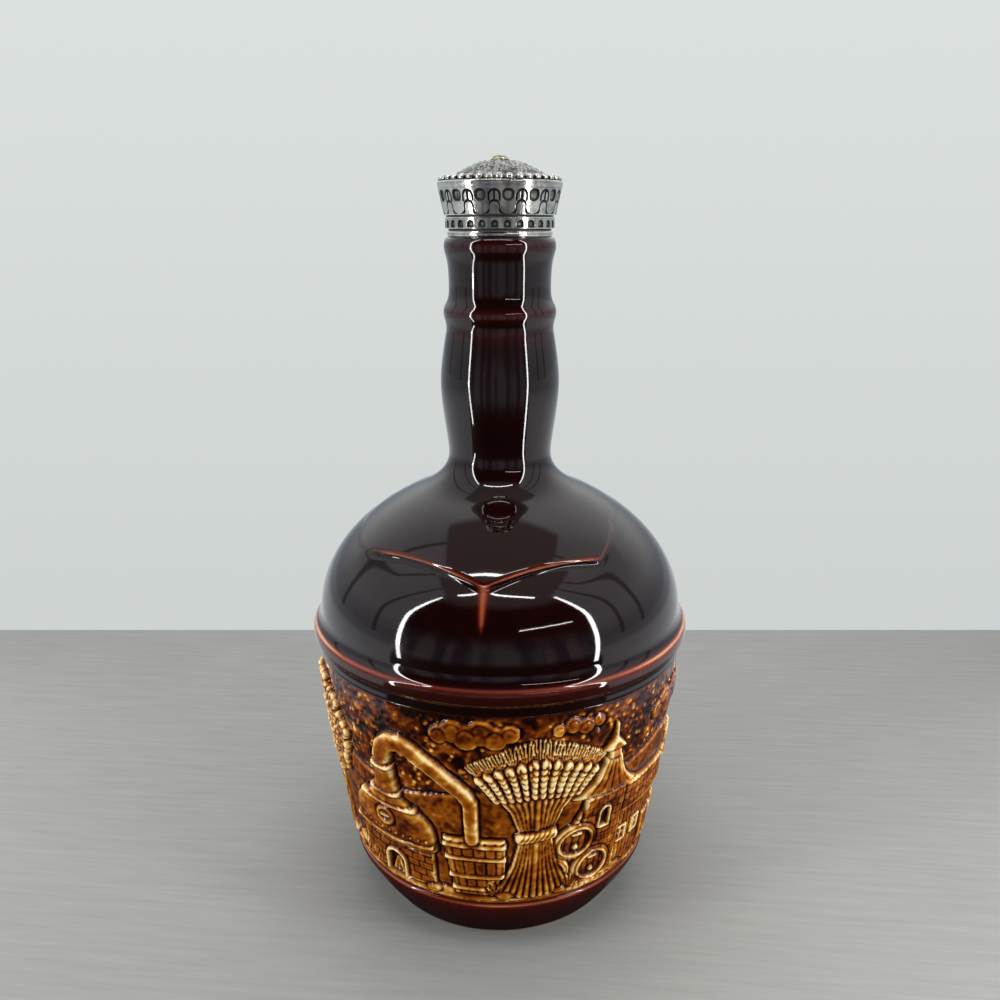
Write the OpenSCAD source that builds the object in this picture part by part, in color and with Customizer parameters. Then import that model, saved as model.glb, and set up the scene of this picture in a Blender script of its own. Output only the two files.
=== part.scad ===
// Glazed ceramic whisky bottle with a cork stopper under a cast metal crown.
// It stands on the table at z = 0 with its axis on Z, and the hood's point faces -Y.

/* [Foot and base] */
// Diameter of the ring that the bottle stands on
foot_d = 78; // [72:0.5:84]
// Width of that ring
foot_ring_w = 6.5; // [4:0.5:9]
// How far the middle of the base is hollowed above the table
foot_recess = 1.8; // [1:0.1:3]
// Height of the plain base below the band
base_h = 15.3; // [13:0.1:18]

/* [Relief band] */
// Diameter at the band's lower edge
band_foot_d = 95; // [90:0.5:98]
// Diameter at the band's upper edge
band_top_d = 112.6; // [108:0.1:114]
// Height of the band
band_h = 70.7; // [60:0.1:80]
// Height of the plain border at each edge of the band
border_h = 2.2; // [1.5:0.1:3]
// How far the borders stand out of the band
border_proud = 0.5; // [0.3:0.1:1]

/* [Carved yard] */
// How far the main forms stand out of the band
form_proud = 1.6; // [1:0.1:1.9]
// How far the walls, fences and the ground stand out of it
wall_proud = 0.9; // [0.5:0.1:0.95]
// Height of the ground above the band's lower border
ground_h = 5; // [4:0.1:6]
// Width of the pot still
still_w = 29.6; // [26:0.1:32]
// Height of the still up to the crest of its swan neck
still_h = 52; // [46:0.1:56]
// Width of a wooden tub
tub_w = 16.8; // [14:0.1:18]
// Height of that tub
tub_h = 21; // [18:0.1:24]
// Width of a barley sheaf over its ears
sheaf_w = 36; // [32:0.1:40]
// Height of that sheaf
sheaf_h = 55; // [48:0.1:58]
// Diameter of a cask's head
cask_head_d = 12.6; // [11:0.1:14]
// Width of the malt house
malt_house_w = 38; // [34:0.1:42]
// Height of the malt house up to its ridge
malt_house_h = 32; // [28:0.1:36]
// Width of its kiln
kiln_w = 14.4; // [12:0.1:16]
// Height of the kiln up to its cap
kiln_h = 55; // [48:0.1:58]
// Width of a tree's crown
tree_w = 38; // [30:0.1:40]
// Height of a tree
tree_h = 60; // [50:0.1:61]
// Height of the fences
fence_h = 14.5; // [11:0.1:18]
// Width of a fence
fence_w = 30; // [26:0.1:34]
// Height of a thistle
thistle_h = 36; // [26:0.1:40]

/* [Ridge] */
// How far the ridge stands out of the band's upper edge
ridge_proud = 2; // [1.2:0.1:3]
// Height from the band's upper edge to the foot of the shoulder
ridge_h = 12.8; // [10:0.1:15]
// How far the ridge's upper arris stands in from its widest point
arris_in = 0.7; // [0.4:0.1:1.2]

/* [Shoulder] */
// How far the foot of the shoulder lies in from the band's upper edge
shoulder_in = 1.1; // [0.6:0.1:2]
// Height of the shoulder up to the neck
shoulder_h = 43.4; // [38:0.1:48]

/* [Hood] */
// How far the hood's two lobes lie below the neck
hood_drop = 22.1; // [20:0.1:24]
// Sideways distance from the hood's point to the top of each lobe
lobe_out = 22; // [19:0.5:25]
// Radius of each lobe's edge, seen from the front
lobe_r = 64; // [50:1:80]
// How far the hood's edge overhangs the scoop below it
hood_overhang = 3.4; // [2.5:0.1:3.8]
// Height of each scoop
scoop_h = 14.5; // [11:0.1:17]
// Radius of the scoop's hollow
scoop_r = 42; // [36:1:60]
// Angle from the hood's point to the middle of each scoop
scoop_turn = 24.5; // [22:0.5:27]

/* [Neck] */
// Diameter at the foot of the neck
neck_d = 30.8; // [30:0.1:32]
// Diameter of the long swelling
swell_d = 35; // [33:0.1:37]
// Diameter of the waist above the swelling
waist_d = 31.2; // [30:0.1:32.5]
// Diameter of the neck ring
ring_d = 32.8; // [32:0.1:35]
// Diameter of the throat above the ring
throat_d = 29.4; // [29:0.1:31]
// Diameter of the lip
lip_d = 32; // [31:0.1:34]
// Height from the neck's foot to the middle of the swelling
swell_rise = 21.6; // [18:0.1:25]
// Height from there to the waist
waist_rise = 15.2; // [13:0.1:18]
// Height from the waist to the ring
ring_rise = 4.6; // [4:0.1:6]
// Height from the ring to the throat
throat_rise = 6.9; // [6:0.1:8]
// Height from the throat to the lip's widest point
lip_rise = 11.3; // [9:0.1:13]
// Height from there to the mouth's flat top
lip_h = 2.8; // [2:0.1:4]

/* [Walls] */
// Thickness of the ceramic wall
wall_t = 5.5; // [5:0.1:6.5]
// Thickness of the floor
floor_t = 6.5; // [5:0.1:9]
// Diameter of the bore through the neck
bore_d = 18.8; // [17.6:0.1:19.4]
// Width of the bevel at the mouth
mouth_bevel = 0.8; // [0.4:0.1:1.2]

/* [Cork] */
// Length of the cork below the crown
cork_l = 22; // [18:0.5:26]
// Gap between the cork and the bore
cork_gap = 0.15; // [0.1:0.05:0.2]
// How much narrower the cork's lower end is
cork_taper = 0.8; // [0.4:0.1:1.2]

/* [Crown] */
// Diameter of the crown's foot
crown_foot_d = 29.8; // [29.4:0.1:31]
// Height of the bead at its foot
foot_bead_h = 1.7; // [1.4:0.1:2]
// How far the dentil band stands out of that bead
dentil_out = 0.55; // [0.45:0.05:0.8]
// Height of the dentil band
dentil_band_h = 3.6; // [3.3:0.1:4]
// How far the arcade's foot stands out of the dentil band
arcade_out = 0.35; // [0.3:0.05:0.6]
// How far the arcade flares out over its height
arcade_flare = 1.5; // [1:0.1:2]
// Height of the arcade
arcade_h = 7.1; // [6.9:0.1:7.6]
// How far the rim stands out of the arcade's head
rim_out = 0.2; // [0.1:0.05:0.4]
// Height of the plain polished rim
rim_h = 2; // [1.6:0.1:2.4]
// Depth of the lines cut into the crown
line_depth = 0.4; // [0.3:0.05:0.5]
// Width of those lines
line_w = 0.45; // [0.35:0.05:0.5]
// Number of scales in the lower row, with an arch over each and a window between
scale_count = 14; // [10:1:14]
// Number of beads round the top
bead_count = 38; // [28:1:40]
// Diameter of a bead
bead_d = 2.1; // [1.5:0.1:2.2]
// How far the middle of the beads lies in from the rim
bead_in = 1.2; // [1:0.1:1.5]
// Thickness of the crown's wall at its thinnest
crown_wall_t = 1.6; // [1.4:0.1:2]
// Thickness of the crown's top plate
plate_t = 1.5; // [1.2:0.1:2]

/* [Crown top] */
// Gap between the pad and the beads round it
pad_gap = 0.3; // [0.1:0.1:0.5]
// Height of the pad's upright edge
pad_edge_h = 0.9; // [0.6:0.1:1.2]
// Height of the pad at its middle
pad_h = 5.5; // [4.5:0.1:6]
// Diameter of the boss
boss_d = 5.2; // [4.6:0.1:7]
// Height of the boss above the pad
boss_h = 1.5; // [1.2:0.1:2]
// Diameter of the boss's shank
shank_d = 3; // [2.5:0.1:4]
// How far the shank reaches into the insert
shank_grip = 5; // [3:0.5:8]

/* [Insert] */
// Gap all round the insert inside the crown
insert_gap = 0.1; // [0.05:0.05:0.15]
// Diameter of the spigot that holds the cork
spigot_d = 8; // [6:0.5:10]
// Length of that spigot
spigot_l = 12; // [8:0.5:15]

/* [Hidden] */
$fn = 96;

// Heights of the bottle's stations, from the table upwards
band_z = base_h;
ridge_z = band_z + band_h;
shoulder_z = ridge_z + ridge_h;
neck_z = shoulder_z + shoulder_h;
swell_z = neck_z + swell_rise;
waist_z = swell_z + waist_rise;
ring_z = waist_z + ring_rise;
throat_z = ring_z + throat_rise;
lip_z = throat_z + lip_rise;
mouth_z = lip_z + lip_h;

// Heights of the crown's stations
collar_groove_z = mouth_z + foot_bead_h;
dentil_z = collar_groove_z + line_w;
arcade_z = dentil_z + dentil_band_h;
rim_z = arcade_z + arcade_h;
plate_z = rim_z + rim_h;

bore_r = bore_d / 2;
ridge_r = band_top_d / 2 + ridge_proud;
shoulder_r = band_top_d / 2 - shoulder_in;

// Radii of the crown, from its foot outwards
collar_r = crown_foot_d / 2;
dentil_r = collar_r + dentil_out;
arcade_foot_r = dentil_r + arcade_out;
arcade_head_r = arcade_foot_r + arcade_flare;
rim_r = arcade_head_r + rim_out;
bead_ring_r = rim_r - bead_in;
pad_r = bead_ring_r - bead_d / 2 - pad_gap;
insert_r = collar_r - crown_wall_t - insert_gap;

// Turns round the band, in degrees from the front, to the middle of each group of carved forms
front_tree_turn = -68;
still_turn = -22;
front_sheaf_turn = 16.5;
malt_house_turn = 51;
right_thistle_turn = 85;
right_fence_turn = 106;
back_tree_turn = 132;
back_sheaf_turn = 160;
far_sheaf_turn = -173;
back_cask_turn = -151;
small_cask_turn = -133;
left_thistle_turn = -117;
left_fence_turn = -97;
// Sideways distances in those groups: the still from its group's middle, and the casks and the
// kiln from the malt house's
still_aside = 9;
casks_aside = 18;
kiln_aside = 10;
// The still's tub stands this share of the still's width to its right
still_tub_share = 0.86;
// Shares of the front's sizes that the forms at the back have
back_tree_share = 0.85;
back_sheaf_share = 0.8;
far_sheaf_share = 0.66;
small_cask_share = 0.78;
// Shares of a cask's width at its belly and its upper end
cask_belly_share = 0.52;
cask_end_share = 0.38;
// Share of a cask head's diameter that is sunk in its ring
cask_sunk_share = 0.76;

// Steps along each curved stretch of an outline
curve_steps = 8;
// Overrun of a cut past the face that it opens
overrun = 1;

// A cubic curve from a to d that leaves towards b and arrives from c
function curve(a, b, c, d, steps = curve_steps) =
    [for (i = [1:steps]) let (t = i / steps, s = 1 - t)
        s * s * s * a + 3 * s * s * t * b + 3 * s * t * t * c + t * t * t * d];

// A curve between two stations that is upright at both, with its pull at each end as a share
function wave(a, b, share_a, share_b) =
    curve(a, [a[0], a[1] + share_a * (b[1] - a[1])], [b[0], b[1] - share_b * (b[1] - a[1])], b);

// The point between a and b, at separate shares of their distance across and up
function between(a, b, across_share, up_share) =
    [a[0] + across_share * (b[0] - a[0]), a[1] + up_share * (b[1] - a[1])];

// Each point of a rising outline, moved in square to it
function inset(points, depth) = [for (i = [1:len(points) - 2])
    let (along = points[i + 1] - points[i - 1], unit = along / norm(along))
    points[i] + depth * [-unit[1], unit[0]]];

// Stations of the outside, as radius and height
foot_edge = [foot_d / 2, 0];
base_edge = [band_foot_d / 2 + border_proud, band_z];
band_edge = [band_foot_d / 2, band_z + border_h];
band_head = [band_top_d / 2, ridge_z - border_h];
ridge_foot = [band_top_d / 2 + border_proud, ridge_z];
// Shares of the ridge's height at its widest point and at its arris
ridge_wide_share = 0.37;
ridge_arris_share = 0.5;
ridge_wide = [ridge_r, ridge_z + ridge_wide_share * ridge_h];
ridge_arris = [ridge_r - arris_in, ridge_z + ridge_arris_share * ridge_h];
shoulder_foot = [shoulder_r, shoulder_z];
neck_foot = [neck_d / 2, neck_z];
// Where the shoulder's dome turns into the neck's hollow curve
shoulder_turn_share = [0.76, 0.75];
shoulder_turn = between(shoulder_foot, neck_foot, shoulder_turn_share[0], shoulder_turn_share[1]);

// The dome of the shoulder, and the hollow curve that leads it into the neck
dome = curve(shoulder_foot, between(shoulder_foot, shoulder_turn, 0, 0.43),
    between(shoulder_foot, shoulder_turn, 0.49, 0.78), shoulder_turn, 2 * curve_steps);
hollow = curve(shoulder_turn, between(shoulder_turn, neck_foot, 0.3, 0.12),
    between(shoulder_turn, neck_foot, 1, 0.45), neck_foot);

// Stations of the neck
swell = [swell_d / 2, swell_z];
waist = [waist_d / 2, waist_z];
neck_ring = [ring_d / 2, ring_z];
throat = [throat_d / 2, throat_z];
lip = [lip_d / 2, lip_z];
mouth_edge = [collar_r, mouth_z];

body_outline = concat(
    [foot_edge],
    curve(foot_edge, between(foot_edge, base_edge, 0.4, 0.36),
        between(foot_edge, base_edge, 0.77, 0.7), base_edge),
    [base_edge + [0, border_h - border_proud], band_edge],
    curve(band_edge, between(band_edge, band_head, 0.2, 0.27),
        between(band_edge, band_head, 0.95, 0.72), band_head),
    [ridge_foot - [0, border_h - border_proud]],
    wave(ridge_foot, ridge_wide, 0.3, 0.6),
    [ridge_arris],
    curve(ridge_arris, between(ridge_arris, shoulder_foot, 0.5, 0.2),
        between(ridge_arris, shoulder_foot, 1, 0.6), shoulder_foot),
    dome,
    hollow,
    wave(neck_foot, swell, 0.2, 0.38),
    wave(swell, waist, 0.36, 0.05),
    wave(waist, neck_ring, 0.53, 0.3),
    wave(neck_ring, throat, 0.37, 0.66),
    wave(throat, lip, 0.88, 0.21),
    curve(lip, between(lip, mouth_edge, 0, 0.6), between(lip, mouth_edge, 0.4, 1), mouth_edge));

// Stations of the inside
floor_z = foot_recess + floor_t;
inner_foot = [band_foot_d / 2 - wall_t, band_z + border_h];
inner_head = [shoulder_r - wall_t, shoulder_z];
// Share of the inside's lower radius over which its floor stays flat
floor_flat_share = 0.72;
floor_edge = [floor_flat_share * inner_foot[0], floor_z];
under_dome = inset(concat([shoulder_foot], dome, hollow, [neck_foot + [0, ring_rise]]), wall_t);

inside_outline = concat(
    [[0, floor_z], floor_edge],
    curve(floor_edge, between(floor_edge, inner_foot, 0.55, 0),
        between(floor_edge, inner_foot, 0.8, 0.4), inner_foot),
    curve(inner_foot, between(inner_foot, inner_head, 0.25, 0.25),
        between(inner_foot, inner_head, 1, 0.6), inner_head),
    [for (p = under_dome) if (p[0] > bore_r + insert_gap && p[1] > shoulder_z) p],
    [[bore_r, neck_z], [bore_r, mouth_z - mouth_bevel],
        [bore_r + mouth_bevel + overrun, mouth_z + overrun], [0, mouth_z + overrun]]);

// The outline of the dome by height, for what is cut into it
dome_radii = [for (p = dome) [p[1], p[0]]];

// One of the two scoops below the hood's edge: side is -1 to the left, 1 to the right.
// Its hollow is a level cylinder laid across the shoulder, and the lobe's arc trims its top.
module scoop(side) {
    lobe_z = neck_z - hood_drop;
    top = [lookup(lobe_z, dome_radii) - hood_overhang, lobe_z];
    low = [lookup(lobe_z - scoop_h, dome_radii), lobe_z - scoop_h];
    chord = top - low;
    sag = scoop_r - sqrt(scoop_r * scoop_r - chord * chord / 4);
    outward = [chord[1], -chord[0]] / norm(chord);
    centre = (top + low) / 2 + (scoop_r - sag) * outward;
    intersection() {
        translate([side * lobe_out, 0, lobe_z - lobe_r])
            rotate([90, 0, 0]) cylinder(r = lobe_r, h = 2 * ridge_r);
        rotate([0, 0, side * scoop_turn]) translate([0, -centre[0], centre[1]])
            rotate([0, 90, 0]) cylinder(r = scoop_r, h = 2 * shoulder_r, center = true);
    }
}

// The carved forms are flat outlines, each standing on the middle of its foot. Their points are
// shares of a form's own width and height.

function sized(shares, w, h) = [for (p = shares) [w * p[0], h * p[1]]];

// The same on both sides, from the right half
function both_halves(shares, w, h) = concat(sized(shares, w, h),
    [for (i = [len(shares) - 1:-1:0]) [-w * shares[i][0], h * shares[i][1]]]);

// The still's copper pot, whose swan neck leads over and down to its tub
module pot_still() {
    pot_shares = [[0.42, 0.25], [0.5, 0.34], [0.46, 0.46], [0.31, 0.54], [0.175, 0.59], [0.1, 0.86],
        [0.16, 0.9], [0.3, 0.885], [0.8, 0.64], [0.81, 0.38], [0.94, 0.38], [0.95, 0.67], [0.88, 0.73],
        [0.36, 0.97], [0.2, 1], [0, 0.985], [-0.09, 0.93], [-0.175, 0.59], [-0.31, 0.54],
        [-0.46, 0.46], [-0.5, 0.34], [-0.42, 0.25]];
    polygon(sized(pot_shares, still_w, still_h));
}

// The brick furnace under the still
module furnace() {
    furnace_shares = [[0.46, 0], [0.46, 0.26]];
    polygon(both_halves(furnace_shares, still_w, still_h));
}

// An open tub, or a cask where the belly's and the head's shares say so
module staved_tub(size_share = 1, belly_share = 0.45, head_share = 0.5) {
    tub_shares = [[0.37, 0], [belly_share, 0.5], [head_share, 1]];
    polygon(both_halves(tub_shares, size_share * tub_w, size_share * tub_h));
}

// A bound sheaf of barley with its fan of ears
module barley_sheaf(size_share = 1) {
    sheaf_shares = [[0.29, 0], [0.16, 0.2], [0.11, 0.4], [0.2, 0.56], [0.42, 0.74], [0.49, 0.85],
        [0.3, 0.96], [0.12, 1]];
    polygon(both_halves(sheaf_shares, size_share * sheaf_w, size_share * sheaf_h));
}

// Three casks seen on their heads: two stand on the ground and one on top
module cask_heads(d_share) {
    half_pitch_share = 0.53;
    head_rises_share = [0.5, 1.36];
    for (place = [[-half_pitch_share, head_rises_share[0]], [half_pitch_share, head_rises_share[0]],
            [0, head_rises_share[1]]])
        translate(cask_head_d * place) circle(d = d_share * cask_head_d);
}

// The malt house's slated roof
module malt_house_roof() {
    roof_shares = [[-0.55, 0.64], [0.58, 0.64], [0.47, 1], [-0.42, 1]];
    polygon(sized(roof_shares, malt_house_w, malt_house_h));
}

// The malt house's boarded wall
module malt_house_wall() {
    wall_shares = [[0.5, 0], [0.5, 0.66]];
    polygon(both_halves(wall_shares, malt_house_w, malt_house_h));
}

// The kiln's tower with its hipped roof, vent and cap
module kiln() {
    kiln_shares = [[0.5, 0], [0.5, 0.59], [0.68, 0.59], [0.39, 0.68], [0.17, 0.81], [0.15, 0.855],
        [0.29, 0.855], [0.04, 0.95]];
    polygon(both_halves(kiln_shares, kiln_w, kiln_h));
}

// A leafy tree: a trunk under a crown of round clumps
module leafy_tree(size_share = 1) {
    clump_count = 8;
    notch_share = 0.84;
    crown_mid_share = 0.68;
    crown_r_shares = [0.5, 0.31];
    trunk_shares = [[0.14, 0], [0.055, 0.1], [0.05, 0.5]];
    w = size_share * tree_w;
    h = size_share * tree_h;
    polygon(both_halves(trunk_shares, w, h));
    translate([0, crown_mid_share * h]) polygon([for (i = [0:clump_count - 1], k = [0:2])
        let (angle = (i + k / 3) * 360 / clump_count, reach = k == 0 ? notch_share : 1)
        reach * [crown_r_shares[0] * w * cos(angle), crown_r_shares[1] * h * sin(angle)]]);
}

// A paling fence on two rails
module paling_fence() {
    post_count = 7;
    post_share = 0.07;
    rail_shares = [[0.25, 0.37], [0.66, 0.78]];
    post_w = post_share * fence_w;
    for (i = [0:post_count - 1])
        translate([(fence_w - post_w) * (i / (post_count - 1) - 1 / 2) - post_w / 2, 0])
            square([post_w, fence_h]);
    for (rail = rail_shares)
        translate([(post_w - fence_w) / 2, rail[0] * fence_h])
            square([fence_w - post_w, (rail[1] - rail[0]) * fence_h]);
}

// A thistle: two leaves on its stem, and a round cup under a brush
module thistle() {
    thistle_shares = [[-0.03, 0], [0.03, 0], [0.03, 0.3], [0.29, 0.36], [0.24, 0.46], [0.03, 0.4],
        [0.03, 0.6], [0.1, 0.66], [0.1, 0.74], [0.045, 0.8], [0.14, 1], [-0.14, 1], [-0.045, 0.8],
        [-0.1, 0.74], [-0.1, 0.66], [-0.03, 0.6], [-0.03, 0.25], [-0.24, 0.34], [-0.29, 0.24],
        [-0.03, 0.15]];
    polygon(sized(thistle_shares, thistle_h, thistle_h));
}

// The layer that carved forms stand in, from inside the wall out to proud of the band
module carved_layer(proud) {
    layer_steps = 3;
    skin_line = concat([band_edge], curve(band_edge, between(band_edge, band_head, 0.2, 0.27),
        between(band_edge, band_head, 0.95, 0.72), band_head, layer_steps));
    rotate_extrude() polygon(concat([for (p = skin_line) p + [proud, 0]],
        [band_head - [wall_t / 2, 0], band_edge - [wall_t / 2, 0]]));
}

// Stands flat forms on the band's ground, turned round the bottle, as deep as the layer there
module on_band(turn, proud) {
    from_r = band_foot_d / 2 - 2 * wall_t;
    foot_z = band_edge[1] + ground_h - wall_proud;
    intersection() {
        carved_layer(proud);
        rotate([0, 0, turn]) translate([0, -from_r, foot_z])
            rotate([90, 0, 0]) linear_extrude(height = ridge_r) children();
    }
}

// The yard carved round the band: its walls and fences, and its main forms further out
module carved_yard() {
    intersection() {
        carved_layer(wall_proud);
        translate([0, 0, band_edge[1]]) cylinder(r = ridge_r, h = ground_h);
    }
    on_band(still_turn, wall_proud) translate([-still_aside, 0]) furnace();
    on_band(malt_house_turn, wall_proud) {
        malt_house_wall();
        translate([-casks_aside, 0]) cask_heads(1);
    }
    on_band(right_fence_turn, wall_proud) paling_fence();
    on_band(left_fence_turn, wall_proud) paling_fence();
    on_band(front_tree_turn, form_proud) leafy_tree();
    on_band(still_turn, form_proud) {
        translate([-still_aside, 0]) pot_still();
        translate([still_tub_share * still_w - still_aside, 0]) staved_tub();
    }
    on_band(front_sheaf_turn, form_proud) barley_sheaf();
    on_band(malt_house_turn, form_proud) {
        malt_house_roof();
        translate([-kiln_aside, 0]) kiln();
        translate([-casks_aside, 0]) difference() {
            cask_heads(1);
            cask_heads(cask_sunk_share);
        }
    }
    on_band(right_thistle_turn, form_proud) thistle();
    on_band(back_tree_turn, form_proud) leafy_tree(back_tree_share);
    on_band(back_sheaf_turn, form_proud) barley_sheaf(back_sheaf_share);
    on_band(far_sheaf_turn, form_proud) barley_sheaf(far_sheaf_share);
    on_band(back_cask_turn, form_proud) staved_tub(1, cask_belly_share, cask_end_share);
    on_band(small_cask_turn, form_proud)
        staved_tub(small_cask_share, cask_belly_share, cask_end_share);
    on_band(left_thistle_turn, form_proud) thistle();
}

// Slip-cast ceramic bottle: one hollow piece with a foot ring, a band, a ridge and a hood
module bottle_body() {
    recess_r = foot_d / 2 - foot_ring_w;
    color([0.16, 0.05, 0.03]) difference() {
        union() {
            rotate_extrude() polygon(concat([[0, 0]], body_outline, [[0, mouth_z]]));
            carved_yard();
        }
        rotate_extrude() polygon(inside_outline);
        translate([0, 0, -overrun])
            cylinder(r1 = recess_r + overrun, r2 = recess_r - foot_recess, h = foot_recess + overrun);
        scoop(-1);
        scoop(1);
    }
}

// Shapes for the crown's lines, each standing on the middle of its foot

// A round-headed arch
module arch(w, h) {
    translate([0, h - w / 2]) circle(d = w);
    translate([-w / 2, 0]) square([w, h - w / 2]);
}

// A scale: a round head on a foot that flares out to the full width
module scale_shape(w, h) {
    // Share of the width that the head takes
    head_share = 0.5;
    flare = (1 - head_share) * w / 2;
    arch(head_share * w, h);
    difference() {
        translate([-w / 2, 0]) square([w, flare]);
        for (side = [-1, 1]) translate([side * w / 2, flare]) circle(r = flare);
    }
}

// The line round an arch, open at its foot
module arch_line(w, h) {
    difference() {
        arch(w, h);
        translate([0, -line_w]) arch(w - 2 * line_w, h);
    }
}

// An oval window, round at its head and its foot
module oval(w, h) {
    translate([0, w / 2]) {
        arch(w, h - w / 2);
        circle(d = w);
    }
}

// The line over a scale
module scale_line(w, h) {
    difference() {
        scale_shape(w, h);
        translate([0, -line_w]) scale_shape(w - 2 * line_w, h);
    }
}

// Cuts count copies of a flat shape through a skin, out from from_r, at height z
module round_the_crown(count, z, from_r, turn = 0) {
    for (i = [0:count - 1])
        rotate([0, 0, turn + i * 360 / count]) translate([0, -from_r, z])
            rotate([90, 0, 0]) linear_extrude(height = rim_r) children();
}

// A skin on the crown's wall, as thick as its lines are deep, which the lines cut through
module skin(foot_r, head_r, h) {
    difference() {
        cylinder(r1 = foot_r, r2 = head_r, h = h);
        translate([0, 0, -overrun])
            cylinder(r = min(foot_r, head_r) - 2 * line_depth, h = h + 2 * overrun);
    }
}

// The arcade: scales below, and above them arches with a mullion and sunk oval windows in turn
module arcade() {
    from_r = arcade_foot_r - 3.5 * line_depth;
    pitch = 360 / scale_count;
    // Shares of the arcade's height taken by each row, and of the pitch taken by each shape
    row_share = 0.49;
    scale_w_share = 0.84;
    arch_w_share = 0.48;
    window_w_share = 0.36;
    scale_w = scale_w_share * 2 * arcade_foot_r * sin(pitch / 2);
    arch_w = arch_w_share * 2 * arcade_foot_r * sin(pitch / 2);
    window_w = window_w_share * 2 * arcade_foot_r * sin(pitch / 2);
    row_h = row_share * arcade_h;
    upper_z = arcade_h - row_h;
    translate([0, 0, arcade_z]) difference() {
        skin(arcade_foot_r, arcade_head_r, arcade_h);
        round_the_crown(scale_count, line_w, from_r) scale_line(scale_w, row_h);
        round_the_crown(scale_count, upper_z, from_r) {
            arch_line(arch_w, row_h - line_w);
            translate([-line_w / 2, line_w]) square([line_w, row_h - 3 * line_w]);
        }
        round_the_crown(scale_count, upper_z, from_r, pitch / 2) oval(window_w, row_h - line_w);
    }
}

// The dentils: a row of small round-headed sinkings in a band
module dentils() {
    // Shares of the pitch and of the band's height that one dentil takes
    dentil_w_share = 0.55;
    dentil_h_share = 0.52;
    dentil_w = dentil_w_share * PI * dentil_r / scale_count;
    translate([0, 0, dentil_z]) difference() {
        skin(dentil_r, dentil_r, dentil_band_h - line_w);
        round_the_crown(2 * scale_count, line_w, dentil_r - 3.5 * line_depth)
            arch(dentil_w, dentil_h_share * dentil_band_h);
    }
}

// Cast crown: collar, dentils, arcade, rim and beads round a top plate, hollow from below
module crown_shell() {
    bead_r = bead_d / 2;
    crown_bore_r = collar_r - crown_wall_t;
    color([0.75, 0.75, 0.73]) difference() {
        union() {
            rotate_extrude() polygon(concat(
                [[0, mouth_z], [collar_r - line_depth, mouth_z]],
                curve([collar_r - line_depth, mouth_z], [collar_r, mouth_z + line_depth],
                    [collar_r, collar_groove_z - line_depth],
                    [collar_r - line_depth, collar_groove_z]),
                [[collar_r - line_depth, dentil_z],
                    [dentil_r - line_depth, dentil_z],
                    [dentil_r - line_depth, arcade_z],
                    [arcade_foot_r - line_depth, arcade_z],
                    [arcade_head_r - line_depth, rim_z],
                    [arcade_head_r, rim_z],
                    [rim_r, rim_z + rim_h / 2]],
                curve([rim_r, rim_z + rim_h / 2], [rim_r, plate_z],
                    [rim_r, plate_z], [rim_r - line_depth, plate_z]),
                [[0, plate_z]]));
            arcade();
            dentils();
            for (i = [0:bead_count - 1]) rotate([0, 0, (i + 1 / 2) * 360 / bead_count])
                translate([0, -bead_ring_r, plate_z + bead_r / 2]) sphere(r = bead_r);
        }
        translate([0, 0, mouth_z - overrun])
            cylinder(r = crown_bore_r, h = plate_z - plate_t - mouth_z + overrun);
        translate([0, 0, mouth_z]) cylinder(d = shank_d + 2 * insert_gap, h = plate_z);
    }
}

// Low domed pad that lies on the crown's plate inside the beads
module crown_pad() {
    edge = [pad_r, plate_z + pad_edge_h];
    head = [boss_d / 2, plate_z + pad_h];
    color([0.5, 0.5, 0.48]) difference() {
        rotate_extrude() polygon(concat(
            [[0, plate_z], [pad_r, plate_z], edge],
            curve(edge, between(edge, head, 0.33, 0.3), between(edge, head, 0.62, 0.9), head),
            [[0, plate_z + pad_h]]));
        translate([0, 0, mouth_z]) cylinder(d = shank_d + 2 * insert_gap, h = plate_z);
    }
}

// Turned boss on the pad, whose shank pins the pad and the crown to the insert
module crown_boss() {
    seat_z = plate_z + pad_h;
    flange_h = boss_h / 3;
    edge = [boss_d / 2, seat_z + flange_h];
    head = [0, seat_z + boss_h];
    shank_z = plate_z - plate_t - shank_grip;
    color([0.72, 0.6, 0.3]) {
        rotate_extrude() polygon(concat(
            [[0, shank_z], [shank_d / 2, shank_z], [shank_d / 2, seat_z], [boss_d / 2, seat_z], edge],
            curve(edge, between(edge, head, 0.1, 0.7), between(edge, head, 0.5, 1), head)));
    }
}

// Moulded insert that fills the crown, bears on the mouth and holds the cork on its spigot
module crown_insert() {
    top_z = plate_z - plate_t;
    color([0.12, 0.12, 0.12]) difference() {
        union() {
            translate([0, 0, mouth_z]) cylinder(r = insert_r, h = top_z - mouth_z);
            translate([0, 0, mouth_z - spigot_l]) cylinder(d = spigot_d, h = spigot_l + overrun);
        }
        translate([0, 0, top_z - shank_grip])
            cylinder(d = shank_d + 2 * insert_gap, h = shank_grip + overrun);
    }
}

// Cork, pushed onto the insert's spigot and a close fit in the bore
module cork() {
    cork_r = bore_r - cork_gap;
    foot_r = cork_r - cork_taper / 2;
    foot_z = mouth_z - cork_l;
    color([0.72, 0.52, 0.33]) difference() {
        rotate_extrude() polygon([[0, foot_z], [foot_r - mouth_bevel, foot_z],
            [foot_r, foot_z + mouth_bevel], [cork_r, mouth_z], [0, mouth_z]]);
        translate([0, 0, mouth_z - spigot_l - insert_gap])
            cylinder(d = spigot_d + 2 * insert_gap, h = spigot_l + insert_gap + overrun);
    }
}

bottle_body();
crown_shell();
crown_pad();
crown_boss();
crown_insert();
cork();
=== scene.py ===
# Looks of the ceramic whisky bottle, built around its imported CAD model
import math

import bpy
import numpy as np
from mathutils import Matrix


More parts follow.
